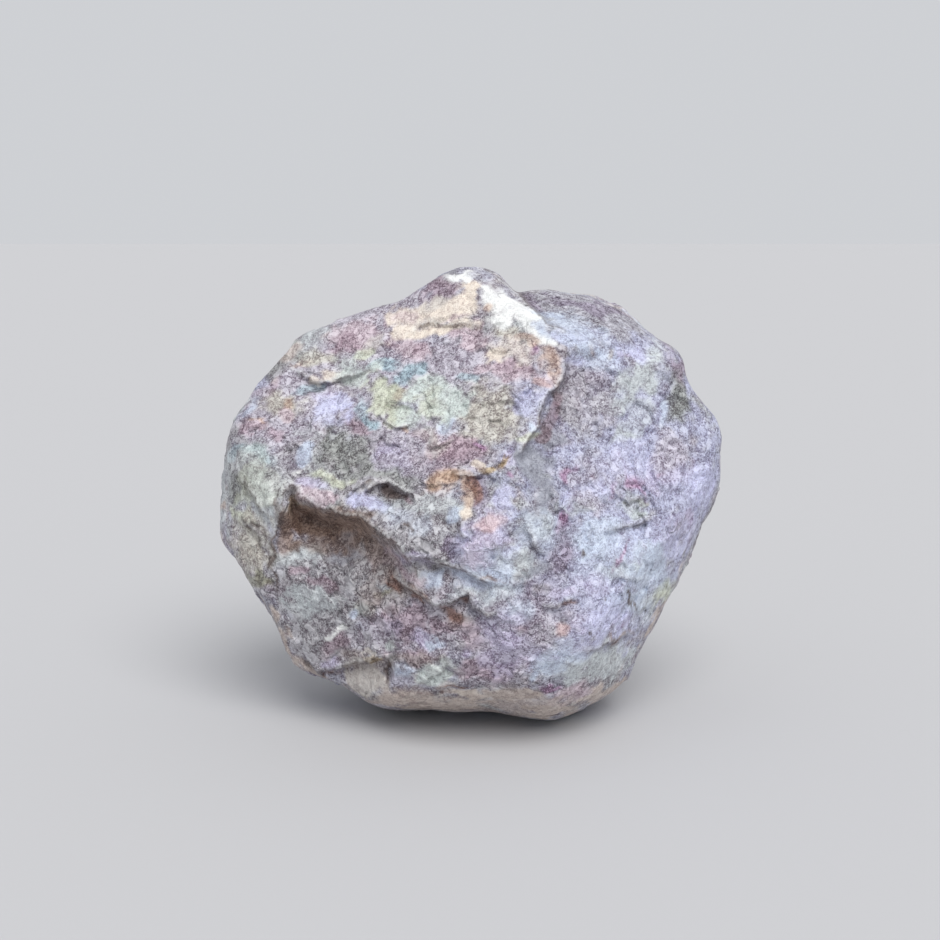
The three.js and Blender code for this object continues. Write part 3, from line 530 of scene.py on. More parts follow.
# Patches in the order they lie over one another: mineral, strength, crispness of the edge, then each
# patch as across, up, half width, half height and turn in degrees, which is left out where it is 0.
PATCHES = [
    # The ground
    ("mauve grain", 0.9, 0.5, [(-18, 22, 16, 9, 20), (-30, 14, 8, 8), (0, 20, 14, 5), (-8, 7, 10, 6)]),
    ("lilac white", 0.9, 0.5, [(24, 8, 17, 16), (22, -12, 13, 12), (36, 0, 6, 9), (22, 27, 12, 4, -15)]),
    ("grey grain", 0.8, 0.5, [(-22, -12, 9, 8), (-25, -21, 7, 6), (-8, -8, 8, 5), (20, 29, 12, 3.5, -12)]),
    # The hollow's own brown, which also stands as painted shade under the brow's overhang
    ("hollow brown", 0.95, 0.5, [(-24, -4.5, 8, 3, -10), (-17, -6.4, 3.5, 2, -25)]),
    ("mauve grain", 0.9, 0.5, [(7, -26, 8, 4.5), (-9, -22, 8, 5), (10.5, -20.5, 3.5, 4)]),
    ("tan grey", 0.9, 0.5, [(3, 12.5, 6, 4.5, -10), (-30, 14.4, 3, 2.2), (-24.8, 21.3, 3.4, 1.4),
        (5.8, 25.5, 2.4, 1.2), (-35, -9.4, 3.4, 3.2)]),
    ("dark grey green", 0.85, 0.5, [(-20.2, 7.2, 4.4, 3.4, -10), (-15.5, 3.4, 4.6, 1.5, -5),
        (32.8, 15.5, 1.8, 3.6, 5), (-36.5, 0.8, 3, 2.2, -30), (-17, -18.6, 2.2, 1.2), (12.3, 2.7, 1, 0.5)]),
    ("grey mint", 0.85, 0.5, [(-32.3, 2.2, 3, 3.4), (-33.2, -3, 2.8, 4), (7.2, -10.7, 3.6, 3, -10),
        (10.9, -4.8, 2.4, 2.2), (2.6, -15, 4, 1.9, -10), (17.4, -2.4, 3, 1.2), (26.5, 17.2, 5.5, 2.2, 35),
        (26, 11, 3.6, 2.2, 45), (29.4, 21, 2.2, 1.2), (22.7, 13.7, 2.8, 1.3, 10), (-7, -1.9, 3, 1.4),
        (25, -12.3, 4, 1.4), (-25.5, -17.3, 4, 2.4), (-27.4, -10, 3.8, 2), (28, -18, 1.9, 3, -20),
        (-13.7, -2.6, 2.4, 1.1, -15), (-3.2, -1.8, 3.2, 1.4, 10)]),
    # Grains of stronger colours
    ("pink", 0.8, 0.6, [(-19, 25.5, 4, 1.8, 20), (-9.5, 22.8, 3, 1.9), (-29.2, 13, 1.4, 1), (0, 25, 3, 1.4),
        (6, 19.8, 6, 1.2), (-24, -0.7, 2.6, 1, -10), (-33.7, 10.4, 2.4, 1), (16.3, -32.2, 3.6, 1.3, 15),
        (-2.5, 8, 4, 2, -10)]),
    ("maroon", 0.75, 0.6, [(-5, 32.6, 3.8, 1.5, 25), (-20, 23.3, 3.2, 1.4, 15), (-12.9, 27.5, 1.3, 0.8, 30),
        (-13.2, 24.7, 1.4, 1.1), (-8.6, 23.4, 1.5, 1, 20), (-36, 10.6, 1.6, 1.5, 40),
        (-31.9, 17, 2, 0.9, 35), (-17.7, 11.6, 2.4, 1.6, -20), (-1.4, 7.4, 4.6, 2.4, -10), (1.5, 27, 1, 1),
        (8, 20.2, 4, 0.8), (33.7, 19.4, 1.1, 1.5), (17.6, 15, 1.3, 1), (-14.2, -9.4, 1.8, 2.4),
        (-27.6, -12.9, 1.6, 0.8), (-23.6, -14.6, 2.5, 1, -15), (-9.5, -21, 4.4, 2.2, -20),
        (-8.7, -26.2, 2.6, 1.9), (-14, -26.2, 0.9, 0.8), (-21.3, -24.2, 2.2, 1.5), (8.2, -22, 1.2, 1.4),
        (2.4, -27.5, 5, 1.6), (-4.2, -21, 2.2, 1.6), (-37, -11, 0.9, 0.9), (-9.4, -0.6, 1.1, 0.5, -35),
        (9.6, -27.6, 1.8, 1, -30), (-30.8, 9, 1.4, 0.7)]),
    ("dark purple", 0.8, 0.6, [(1.9, -0.2, 1.7, 2.2, 10), (-2.9, -8.4, 1.9, 2.2), (14, -9.2, 1.5, 3.6, -30),
        (8.2, -16.6, 1.4, 2.8, -28), (17.5, 18.3, 2.8, 1.8), (20.3, 17.4, 2, 1.5),
        (14.1, 11.9, 1, 1.4, -20), (-12.5, -21.3, 1.6, 1.2), (15.8, -20.1, 0.7, 0.8), (35, -5.8, 0.8, 1.6),
        (31.5, 24.2, 2.6, 0.9, -40), (10.8, 30.3, 2.6, 0.8, -35), (20, 29.8, 7, 0.8, -15)]),
    ("magenta", 0.8, 0.6, [(25.4, 1.9, 1.9, 1.2), (15.2, 2.8, 0.6, 1.2), (19, 2.5, 0.8, 0.5),
        (22.5, 1, 0.5, 1), (14.7, -5, 0.7, 2, -30), (24.3, -9.8, 0.35, 2.8, -28), (35.1, -4.3, 0.6, 0.8),
        (24.1, -21.1, 0.9, 1.3, -20), (24.9, 22, 0.8, 0.5), (10.7, 23.4, 0.8, 0.7), (1.5, 8.1, 1.3, 0.5),
        (13.3, -30.9, 1.6, 0.6), (6.4, 3.5, 0.5, 0.9)]),
    ("lilac", 0.75, 0.45, [(-12.7, 5.7, 3.4, 2, -20), (-26, 1.4, 2.2, 1), (4.6, -7.4, 2, 1.4),
        (-0.4, -12.6, 1.4, 1.2), (19.8, -14.5, 3.2, 1.9), (14.2, -16.1, 2.2, 0.9), (18.7, -21.2, 2.8, 2.1),
        (31.3, 3.6, 5, 3), (-11.5, -10, 1.7, 1.1, -30), (-8.9, -10.6, 1.8, 0.8, -20), (-7.9, -23, 1.4, 0.9),
        (-21.6, -26.5, 1.6, 0.8), (5.8, -23.6, 1.7, 1.3), (6.9, 5.4, 1.3, 1), (-24, 16.3, 2.2, 1, 10),
        (33, -6, 3, 2.4), (-0.5, -25.3, 1, 1.1)]),
    ("lavender", 0.85, 0.5, [(-22.7, 13.5, 2.7, 2.2), (5.7, -1.5, 2.1, 2.4, 30), (9.2, 15.8, 3, 1.3),
        (8.1, 14.2, 1.6, 1.5), (-16.4, -1.9, 3.8, 1.3, -15), (37, 1, 2, 4), (15.5, 25.2, 4, 0.8, -10)]),
    ("blue white", 0.85, 0.6, [(20, -6.6, 3.8, 2.7), (20.6, -9.4, 3, 1.4), (23, -18, 1.8, 2.3, 15),
        (-34.8, 14, 0.9, 1.6, -35), (-25.7, 6.2, 1.3, 0.9, 40), (10.1, 10.9, 0.8, 1.1, 20),
        (-18.7, -19.5, 1, 0.8), (-10.3, -28, 1.5, 1.3, -20), (-5.9, -23.6, 1.4, 0.8, -20),
        (10.4, -28.6, 0.9, 1.5), (-6.3, -13.6, 1.7, 1.2), (-4.2, 11.8, 1.7, 1.4), (30.8, 13, 0.8, 1.8),
        (-2.4, -2.8, 1.2, 1.6, -30)]),
    ("teal", 0.65, 0.4, [(-14.2, 20.2, 2.6, 0.9, 10), (-10.2, 18.9, 2.8, 1, 15), (-0.4, 18.3, 2.6, 0.8, 10),
        (-17, 13.3, 2, 0.9, -40), (-15.9, 11.8, 1.3, 0.6, -30), (-36, 6.4, 3, 0.8, -5),
        (-33, 5.6, 2.4, 0.7, -10), (-25.4, 17.2, 2.4, 0.6, 15), (-8, 20, 1.2, 0.8)]),
    ("pale green", 0.85, 0.6, [(-14, 15.6, 3, 2.3, -10), (-11.5, 11.9, 2, 1.5, 20), (-17, 22.5, 2.4, 1, 35),
        (-22, 2.2, 3, 1.2, -15), (-36.2, -4.2, 2.2, 0.9, -45), (-34.6, -14.2, 1, 0.9),
        (9.2, 8.8, 1.9, 0.8, 30), (30.8, -15.8, 1.2, 2, -30)]),
    ("mint", 0.85, 0.6, [(-8.7, 16, 1.6, 2.1), (-4, 14.8, 3.2, 3, 10), (-6, 18, 2, 1),
        (26.6, -12.2, 2.2, 0.9), (-13.2, -23.9, 1.2, 1, 20), (27.3, -2.7, 1.6, 0.9, 10)]),
    # Quartz, pale plates and stains
    ("quartz cream", 0.95, 0.7, [(-3.8, 29.4, 5.4, 2, 5), (-10.2, 28.4, 2.8, 1.5, 20),
        (-9.6, 26.2, 3.6, 1, 20), (-3.6, 26.6, 5, 0.9, 3), (-0.4, 31.5, 1.6, 2.2, -20), (0, 33.6, 2, 1),
        (4.8, 22, 1.8, 1.1), (1.5, 4.9, 0.9, 0.7), (0, -32.2, 2.4, 0.8), (-0.4, -2, 0.9, 1.6)]),
    ("grey mint", 0.85, 0.9, [(20.4, -26.8, 6.4, 2.5, 15), (14.8, -24.8, 2, 1.3)]),
    ("pale stone", 0.9, 1.1, [(-16.5, -29.3, 3.8, 2.2, -30), (-16.3, -26, 0.9, 0.6),
        (-5.4, -28.9, 3.3, 1.6, 22)]),
    ("quartz white", 0.95, 0.7, [(4, 31.3, 2.2, 2, -45), (8.4, 28.2, 6.6, 1.3, -41),
        (12.6, 25, 2.4, 0.9, -35), (4.4, 27.6, 2.2, 1.5, -20), (-1.4, 35.2, 2.4, 0.6, 10),
        (-20.9, -22.3, 1.2, 0.45, 35), (-22.6, -23, 0.8, 0.6), (-27, 4, 0.7, 0.4, 30)]),
    ("beige", 0.9, 0.7, [(-6.3, -33.4, 9, 1.1), (5.8, -32, 6, 1.4), (21.9, -31.5, 4.6, 1.3, 25),
        (13.3, -35, 4.5, 0.8), (34, -13, 0.9, 3.4, -25), (29.6, -21.4, 0.9, 4.4, -28), (-39.2, -3, 0.8, 2),
        (-32, -19.4, 0.7, 3.2, 22), (-29.3, -24.6, 0.7, 2.6, 15), (-26, -27.9, 3, 0.7, -25)]),
    ("orange", 0.65, 0.4, [(9.9, 24.4, 1.9, 0.8), (12.8, 22, 1.3, 1.7, 30), (13.6, 19.6, 0.9, 1.4),
        (-10.8, 16.1, 0.8, 1), (-10, 9.8, 0.6, 1.2, -20), (-4.2, 2.4, 2.7, 1.8, 10), (-0.3, 0.6, 1, 2),
        (-33.4, 11.3, 1.2, 0.3, -10), (-28.7, 14.8, 0.9, 0.8), (3.1, 30, 0.5, 0.9, -20),
        (-27.4, 20.1, 1.8, 0.5, 10)]),
    ("salmon", 0.8, 0.6, [(14.4, -22.3, 1.1, 1.3), (11.2, 18.6, 1.6, 0.7)]),
    ("ochre", 0.9, 0.6, [(3.8, 4.2, 2, 0.8, 18), (22.7, 22, 0.6, 0.5), (-15.5, -27, 1.5, 0.5),
        (6, 5.2, 0.9, 0.5, 30)]),
    ("smooth grey", 0.85, 0.5, [(9.9, 4, 1.7, 3.4, 18), (11.4, 0, 2, 1.6), (10.8, -11.4, 2, 1.3, 20),
        (-20.3, -7.1, 1.8, 1.5), (-20.5, -10, 2.4, 1.2), (-1.2, -21.5, 0.8, 1)]),
    ("olive", 0.8, 0.6, [(27.6, -0.8, 1.8, 0.3, 25), (27.3, -4.6, 2.1, 0.28, 12),
        (24.9, -1.3, 0.7, 0.3, -30), (-33, -13.5, 2, 1.3), (-28, -1.6, 2, 1), (-13.4, -15.8, 1.6, 0.8),
        (32.3, -10.6, 0.5, 1.2, -20)]),
    # Thinner layers that shade the others
    ("mauve grain", 0.7, 0.45, [(19, 16.5, 4.2, 6, 15), (21, 3, 6, 3)]),
    ("smooth grey", 0.7, 0.4, [(11.2, 0.6, 2, 4.6, -14)]),
    ("lilac", 0.75, 0.3, [(3, -6.8, 3.4, 4)]),
    ("grey mint", 0.75, 0.8, [(28, 19.5, 2.2, 5, -32), (25.2, 9.6, 1.8, 3.4, -38)]),
    ("lavender", 0.45, 0.2, [(22.5, -18.5, 5, 3.5, -15), (28, -8, 5, 5), (36, -2, 3, 6)]),
    ("blue white", 0.4, 0.2, [(24, -10, 7, 4.5, 20), (3, -14.5, 4, 2, -10), (-11, -4, 4, 2, -20)]),
    ("dark purple", 0.5, 0.3, [(14.8, -8, 2, 4, -22), (12.4, -14.5, 2, 4.5, -22), (9.8, -20, 2, 3, -15),
        (33.2, 20.4, 1.3, 2.6, 20)]),
    ("dark grey green", 0.7, 0.5, [(33.6, 15.6, 1.2, 3.6, 8)]),
    ("pale green", 0.4, 1.1, [(-33.6, 1.2, 3.6, 3.8, 10)]),
    ("tan grey", 0.7, 0.6, [(-34.5, -7.5, 3, 4, 20), (-24.5, 20.9, 3.6, 1.2, -5)]),
    ("quartz cream", 0.85, 0.9, [(-20.4, 18.5, 5.2, 0.7, 3)]),
    ("quartz cream", 0.6, 0.3, [(6.7, 22.6, 3.4, 1.7, -5)]),
    ("blue white", 0.65, 0.3, [(17.5, 25.6, 6.5, 2, -22), (20, 21.6, 4.4, 1.8, -15),
        (14, 28, 2.6, 0.9, -20)]),
    # The first patch is the nose's own lavender, painted paler to stand in for light on its underside, which
    # faces down
    ("lavender", 0.9, 0.3, [(1.4, -8.8, 3.6, 4.6, -10), (21.4, -21.6, 3.6, 2.6, -20),
        (26.5, 21.6, 3, 1.6, -35)]),
    ("magenta", 0.65, 0.5, [(25.4, 1.9, 1.9, 0.8, 20), (24.6, 3, 0.5, 1.6, 25), (27, 0.8, 1.6, 0.4, -30),
        (15.4, 2.8, 0.5, 1.3, -10), (22.4, 0.4, 0.4, 1.2), (24.2, -10.2, 0.3, 2.6, -28),
        (30.6, 2.6, 0.8, 0.5, 20), (14.6, -4.6, 0.5, 1.8, -30)]),
    ("mauve grain", 0.5, 0.3, [(16.2, -20, 2.2, 1.6), (31.5, 6, 2.6, 4)]),
    ("grey grain", 0.7, 0.4, [(15.8, 13.8, 2, 4.6, 15)]),
    # Painted shade in the hollow beside the main ridge
    ("dark purple", 0.85, 0.4, [(13.2, 8.8, 1.5, 1.9, -20)]),
    ("dark purple", 0.35, 0.3, [(16.4, 15, 1.8, 2.8, 15)]),
    ("tan grey", 0.5, 0.4, [(-6, 8.6, 2.4, 1.3)]),
    ("brown grain", 0.5, 0.4, [(6.8, -30.2, 2.6, 0.9, 5)]),
    # Painted light on the nose's underside, over its own lilac
    ("bright lilac", 0.5, 0.4, [(0.4, -13.8, 3, 0.9, -12)]),
    ("dark grey green", 0.6, 0.4, [(-11, 2, 3.2, 1.5, -5)]),
    ("lavender", 0.6, 0.4, [(16.4, -1.4, 2.4, 1.5), (32.4, -8.6, 1.8, 3, -20), (16.4, 21.6, 2.4, 1)]),
    ("grey mint", 0.7, 0.5, [(15.4, -26.8, 4.4, 1.6, 12), (-6, -30.2, 2.4, 0.9)]),
    ("pale stone", 0.6, 0.5, [(-15.6, 24.8, 1.8, 1.2, 30), (-6, 31.2, 2, 0.8, 25)]),
    # Painted light on the nose's underside, over its own blue white
    ("blue white", 0.7, 0.4, [(1.6, -13.4, 4.2, 1.4, -14)]),
    # The third patch is painted light, making up for the shadow under the yellow flake
    ("quartz white", 0.5, 0.4, [(29.2, -11, 2.4, 2.4), (14.8, -26.7, 4, 1.4, 12),
        (-18.7, 18.3, 2.6, 1.1, 5), (-5.4, -29.4, 2.8, 1.3, 22)]),
    ("pink", 0.85, 0.5, [(-12.5, -10.6, 2.4, 1.5, -45)]),
    ("grey mint", 0.6, 0.5, [(26, -1.4, 2.4, 1.3, 10)]),
    ("brown grain", 0.5, 0.4, [(-12.4, -17.2, 2.2, 1.8)]),
    ("blue white", 0.8, 0.4, [(29.4, -10.8, 2.4, 2.6, -20), (13.2, -26.8, 3.6, 1.5, 10),
        (10.8, 27.4, 1.8, 0.6, -41)]),
    ("lilac white", 0.5, 0.3, [(26, 11.4, 2.2, 2)]),
    ("mint", 0.8, 0.4, [(-9.2, 11.8, 2, 1.7)]),
    ("grey mint", 0.8, 1.1, [(-5.3, -28.4, 3.1, 1.9, 22), (-13, -12.8, 0.8, 1.4, 30),
        (-27.3, -16.4, 2.4, 1.8)]),
    ("pink", 0.7, 0.6, [(-11.4, -10.8, 3, 1.4, -45), (-9.4, -13.2, 2.4, 1, -30)]),
    # The second patch is painted light on the nose's underside, over its own blue white
    ("blue white", 0.5, 0.3, [(10, -6, 4.4, 2.6), (1, -13.6, 4, 1.6, -10)]),
    # Painted light on the nose's underside, over its own lilac
    ("bright lilac", 0.8, 0.4, [(2, -8.4, 2.4, 2.8, -15), (0.6, -11.2, 2.2, 1, -15)]),
    ("dark purple", 0.6, 0.6, [(-3.2, -8.2, 1.5, 1.9), (-1.2, -11.8, 1, 0.5)]),
    ("salmon", 0.75, 0.5, [(2.6, -5.1, 2.6, 1.2, 10)]),
    ("teal", 0.6, 0.5, [(-15.8, 12, 1.6, 1, -30), (-14, 20, 2.8, 0.8, 10), (-9.6, 19.2, 3, 0.8, 12)]),
    ("pale green", 0.6, 0.5, [(-13, 15.6, 3.4, 2.1, -12), (-10.6, 12.2, 1.8, 1.5, 20),
        (-6.4, 14.4, 1.6, 2.6, 10)]),
    ("mint", 0.65, 0.5, [(-8.4, 16.8, 1.5, 1.3), (-3.6, 14.6, 2.4, 2.2, 10)]),
    ("pink", 0.5, 0.5, [(-10.4, 28.4, 1.6, 1, 20), (-3.4, 27.9, 2.6, 0.4, 4)]),
    ("grey grain", 0.4, 0.4, [(-6, -1.4, 3, 1.4)]),
    ("pale stone", 0.6, 0.6, [(-2.8, -30.6, 2.4, 0.8, 10)]),
    ("lavender", 0.65, 0.3, [(16.8, -24.4, 4, 1.5, 5), (22.6, -20.4, 2.2, 2.4), (24.5, 5, 4.6, 2.6),
        (-22.6, 12, 2.6, 1.8), (20.5, 0.8, 2.6, 1.6)]),
    # The first patch is painted light on the nose's underside, over its own blue white
    ("blue white", 0.6, 0.3, [(4.4, -11.4, 3, 2, -20), (13.4, -27, 4.4, 1.8, 12), (28, -13.6, 3.6, 2, -10),
        (29, -11.4, 2.4, 3, -25), (26.4, -16.8, 2, 1.8), (7.4, -19.6, 2, 2.2, -20)]),
    ("lilac", 0.6, 0.3, [(6.5, -26, 5, 2, 5), (4.5, -21.6, 3.6, 2)]),
    ("mint", 0.6, 0.4, [(-9.4, 11.6, 2.2, 1.8), (-18.6, 20, 3.2, 2, 15), (-34.8, 5.6, 2.6, 1.6)]),
    ("pale stone", 0.65, 0.4, [(-6.2, 31, 2.4, 0.9, 25)]),
    # Mint painted paler to make up for the shadow under the yellow flake: painted light
    ("mint", 0.8, 0.4, [(-18.4, 18.6, 2.8, 1.3, 10)]),
    ("brown grain", 0.7, 0.4, [(-2, -20.2, 3, 1.2, -15), (-15.6, -15.4, 2.4, 2.6), (-9, -26.5, 4.4, 1.3),
        (-18.6, -26.4, 2.4, 1)]),
    ("maroon", 0.6, 0.4, [(0.4, -22.4, 2.6, 2.2)]),
    ("maroon", 0.5, 0.4, [(-3.6, 5.6, 4.4, 2, -10), (-8, 8.4, 1.6, 1)]),
    ("grey grain", 0.5, 0.4, [(17.2, 13, 3.2, 6, 15), (-29.8, 3.6, 2.2, 3)]),
    ("mauve grain", 0.7, 0.4, [(19.6, -1.6, 3, 1.6), (-12.4, 5.2, 3, 1.4), (32, 7, 3, 3)]),
    ("lilac white", 0.6, 0.4, [(9.6, 15, 3, 1.6)]),
    # The second patch is painted shade in the hollow beside the ridge
    ("smooth grey", 0.8, 0.4, [(10.2, 5.2, 1.9, 2.4, -10), (12.6, 8.8, 1.5, 1.8, -20)]),
    ("dark grey green", 0.6, 0.4, [(-9.2, 2.4, 2.4, 1.3, -10), (-12.2, -1.2, 2.8, 1.1, -12),
        (-21.6, 8.4, 2.2, 1.7)]),
    ("orange", 0.85, 0.5, [(-3.4, 2.4, 2.8, 1.4)]),
    ("beige", 0.7, 0.4, [(-7, -33, 10, 1.5), (8, -33.8, 8, 1.8, 3)]),
    ("mint", 0.7, 1.1, [(-5.2, -28.9, 3.1, 1.7, 24)]),
    # The hollow's own brown and its painted shade, painted shade in the pockets, pits, cracks and beside the
    # ridge, and the rust
    # The hollow's brown again, deepened as painted shade under the brow
    ("hollow brown", 0.65, 0.4, [(-20.5, -7, 3.6, 2.4, -30), (-24.5, -8, 4, 1.8)]),
    ("hollow brown", 0.8, 0.6, [(-27.5, -3.6, 3.6, 2.6, -10), (-21.7, -4.8, 4.6, 1.9, -14),
        (-17.2, -7.2, 3, 1.7, -35), (-29.4, -7.2, 1.2, 2.6)]),
    ("brown grain", 0.8, 0.5, [(-15.2, -8.4, 2.6, 2, -40), (-13, -11.4, 2.8, 2, -50),
        (-10.8, -14.8, 2.8, 1.4, -42)]),
    # Dark brown, mostly painted shade: in the pits, the slots, the cleft in the rim, the pocket under its
    # lip, along the cracks of the lobe and under the brow
    ("dark brown shade", 0.9, 0.75, [(-23.6, -4.1, 2.4, 0.9, -10), (-12, 0.1, 2.9, 0.8, -12),
        (-12.6, -28, 0.5, 2, -10), (-10.5, -6, 0.6, 0.5), (-26, -27, 1.2, 0.5, -20),
        (-15.5, 1, 0.9, 0.5, 30), (18.7, -9.1, 0.7, 0.7), (26.2, -16.4, 0.3, 1.4, -10),
        (26.9, -17.6, 0.25, 0.9, 10), (-34.6, -5.6, 0.3, 2.6, 45), (20.8, -17, 0.3, 0.3),
        (19.2, -22.6, 0.5, 0.3), (-30.4, -2, 0.4, 3.2, 3), (-31.4, -8.5, 0.35, 3.4, -12),
        (-30.8, -13.5, 0.35, 2.6, 15)]),
    # Painted shade in the hollow beside the main ridge, in its dark maroon
    ("dark maroon shade", 0.85, 0.7, [(12.6, 12.2, 1.2, 2.6, -30), (14.2, 15.6, 0.8, 2.4, -25),
        (11.6, 8.8, 1.5, 0.9, 35)]),
    ("rust", 0.85, 0.6, [(-3.2, -19, 2.4, 0.9, -28), (-8.6, -15.6, 1.6, 0.8, -45), (0.9, 0.6, 0.9, 1.8, 15),
        (-0.6, -17.4, 1.2, 0.4), (-8.7, -17.2, 0.5, 0.9, 20), (-12, -14.6, 1.2, 0.6, -40),
        (23.8, -23.4, 2.4, 0.3, 25), (-22.4, -28.4, 1.6, 0.35, 15), (-1.6, -30.8, 2.8, 0.35, 10),
        (15.6, -18, 1, 0.4, 10), (3.4, -14, 1.6, 0.25, -20)]),
]

# The sides and the back carry the same minerals in patches that follow noise: mineral, size of the
# patches, height of the noise above which the mineral shows, strength, seed
ALL_ROUND = [
    ("lilac white", 15, -0.05, 0.8, 301),
    ("mauve grain", 9, 0.05, 0.85, 311),
    ("grey mint", 11, 0.2, 0.75, 321),
    ("dark grey green", 7, 0.42, 0.6, 331),
    ("maroon", 6, 0.34, 0.6, 341),
    ("beige", 9, 0.42, 0.65, 351),
    ("lilac", 7, 0.4, 0.5, 361),
    ("teal", 5, 0.56, 0.45, 371),
    ("orange", 5, 0.62, 0.45, 381),
    ("mint", 9, 0.5, 0.7, 391),
    ("blue white", 7, 0.48, 0.5, 401),
]
ALL_ROUND_EDGE = 0.26  # width of a patch's edge, as a height of the noise

# Painting of the front
FRONT_GROUND = 0.55  # strength of the grey ground that is laid over the patches of noise
PATCH_WANDER = {"size": 6, "reach": 1.3, "octaves": 3, "seeds": (421, 431)}  # bends the patches
RAGGED = {"size": 2.2, "reach": 0.5, "octaves": 3, "seeds": (411,)}  # frays their edges
FRAY = (1.2, 0.5)  # how frayed a soft edge is, and how much less a crisp one
SOFTEST_EDGE = 1.3  # width of the edge at crispness 0, in half sizes of the patch
FRONT_END = (1.6, 0.5)  # how sharply the front's painting ends on the rim, and where

# What the ledges carry: painted shade under them and deep behind the brow, and a painted highlight on their
# lips
RECESS_BROWN_SHADE = 0.55
RECESS_PATCHES = (0.75, 0.8)  # how strong a recess's brown painted shade is on average, and how far that varies
SHADE_BROAD = (0.35, 1.3)  # strength of the painted shade under a ledge, and how fast it dies away
SHADE_NARROW = (0.5, 6)
# painted highlight on the lip above a ledge
LIP_HIGHLIGHT = 0.35


def linear(colour):
    """A colour from 0 to 255 in sRGB as linear light."""
    value = np.array(colour) / 255
    return np.where(value <= 0.04045, value / 12.92, ((value + 0.055) / 1.055) ** 2.4)


def over(paintwork, mineral, amount):
    """Lays a mineral over the paintwork: three columns of colour and one of graininess."""
    colour, grain = MINERALS[mineral]
    return paintwork + (np.append(linear(colour), grain) - paintwork) * amount[:, None]


def painted_all_round(places):
    """The ground with minerals in patches that follow noise."""
    tint = over(np.zeros((len(places), 4)), "grey grain", np.ones(len(places)))
    for mineral, size, threshold, strength, seed in ALL_ROUND:
        amount = smooth((fractal(places, size, seed, 3) - threshold) / ALL_ROUND_EDGE)
        tint = over(tint, mineral, amount * strength)
    return tint


def painted_front(tint, places, x, y, ragged):
    """The patches of the front over a ground that still shows the noise a little."""
    tint = over(tint, "grey grain", np.full(len(places), FRONT_GROUND))
    x, y = np.array([x, y]) + wander(places, **PATCH_WANDER).T
    frayed, steadied = FRAY
    for mineral, strength, crispness, patches in PATCHES:
        for patch in patches:
            edge = 1 + ragged * (frayed - steadied * crispness) - np.sqrt(turned(x, y, *patch))
            amount = smooth(edge / (SOFTEST_EDGE - crispness) + 0.5)
            tint = over(tint, mineral, amount * strength)
    return tint


def painted(places, paint):
    """The colour and the graininess of every vertex, with painted shade under and behind the ledges and a
    painted highlight on their lips.
    """
    ragged = wander(places, **RAGGED)[:, 0]
    tint = painted_all_round(places)
    front_tint = painted_front(tint, places, paint["x"], paint["y"], ragged)
    sharpness, start = FRONT_END
    tint = tint + (front_tint - tint) * smooth(paint["front"] * sharpness - start)[:, None]
    # Brown painted shade in the recess deep behind the brow
    mean, swing = RECESS_PATCHES
    tint = over(tint, "hollow brown", RECESS_BROWN_SHADE * paint["recess"] * smooth(mean + swing * ragged))
    # Dark brown painted shade just under each ledge
    shade = sum(strength * paint["under"] ** power for strength, power in (SHADE_BROAD, SHADE_NARROW))
    tint = over(tint, "dark brown shade", shade)
    # A painted highlight of quartz white on each ledge's lip
    return over(tint, "quartz white", LIP_HIGHLIGHT * paint["above"])


# The mesh
CHIPPED_SHARE = 0.8  # how chipped the sides and the back are
CALMER_FRONT = 0.3  # how much less chipped the front is
FLAKY_CORNER = 0.5  # how much more chipped its lower left is again
CORNER_TOP, CORNER_GROWTH_DOWN = 2, 14  # where the lower left begins and over how much it grows
CORNER_RIGHT, CORNER_GROWTH_LEFT = 16, 12


def fine_directions():
    """Directions of a fine icosphere in face axes, denser towards the front, and its triangles."""
    mesh = bmesh.new()
    bmesh.ops.create_icosphere(mesh, subdivisions=6, radius=1)
    bmesh.ops.subdivide_edges(mesh, edges=mesh.edges[:], cuts=2, use_grid_fill=True)
    bmesh.ops.triangulate(mesh, faces=mesh.faces[:])
    directions = np.array([vertex.co[:] for vertex in mesh.verts])
    triangles = [[vertex.index for vertex in face.verts] for face in mesh.faces]
    mesh.free()
    directions /= np.linalg.norm(directions, axis=1)[:, None]
    directions[:, 2] += FRONT_SHARE
    directions /= np.linalg.norm(directions, axis=1)[:, None]
    return directions, triangles


def fitted(world):
    """A function that takes points in millimetres to where the stone fills the CAD stone's box."""
    low, high = world.min(0), world.max(0)
    cad_low, cad_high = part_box("stone")
    scale = (cad_high.x - cad_low.x) / (high[0] - low[0])
    middle = np.array([(low[0] + high[0]) / 2, (low[1] + high[1]) / 2, 0])
    target = np.array([(cad_low.x + cad_high.x) / 2, (cad_low.y + cad_high.y) / 2, cad_low.z])

    def placed(points):
        return (points - middle) * scale + target

    return placed


def chipped_share(paint):
    """How chipped each place is, apart from its mineral."""
    down = smooth((CORNER_TOP - paint["y"]) / CORNER_GROWTH_DOWN)
    left = smooth((CORNER_RIGHT - paint["x"]) / CORNER_GROWTH_LEFT)
    return CHIPPED_SHARE + (FLAKY_CORNER * down * left - CALMER_FRONT) * paint["front"]


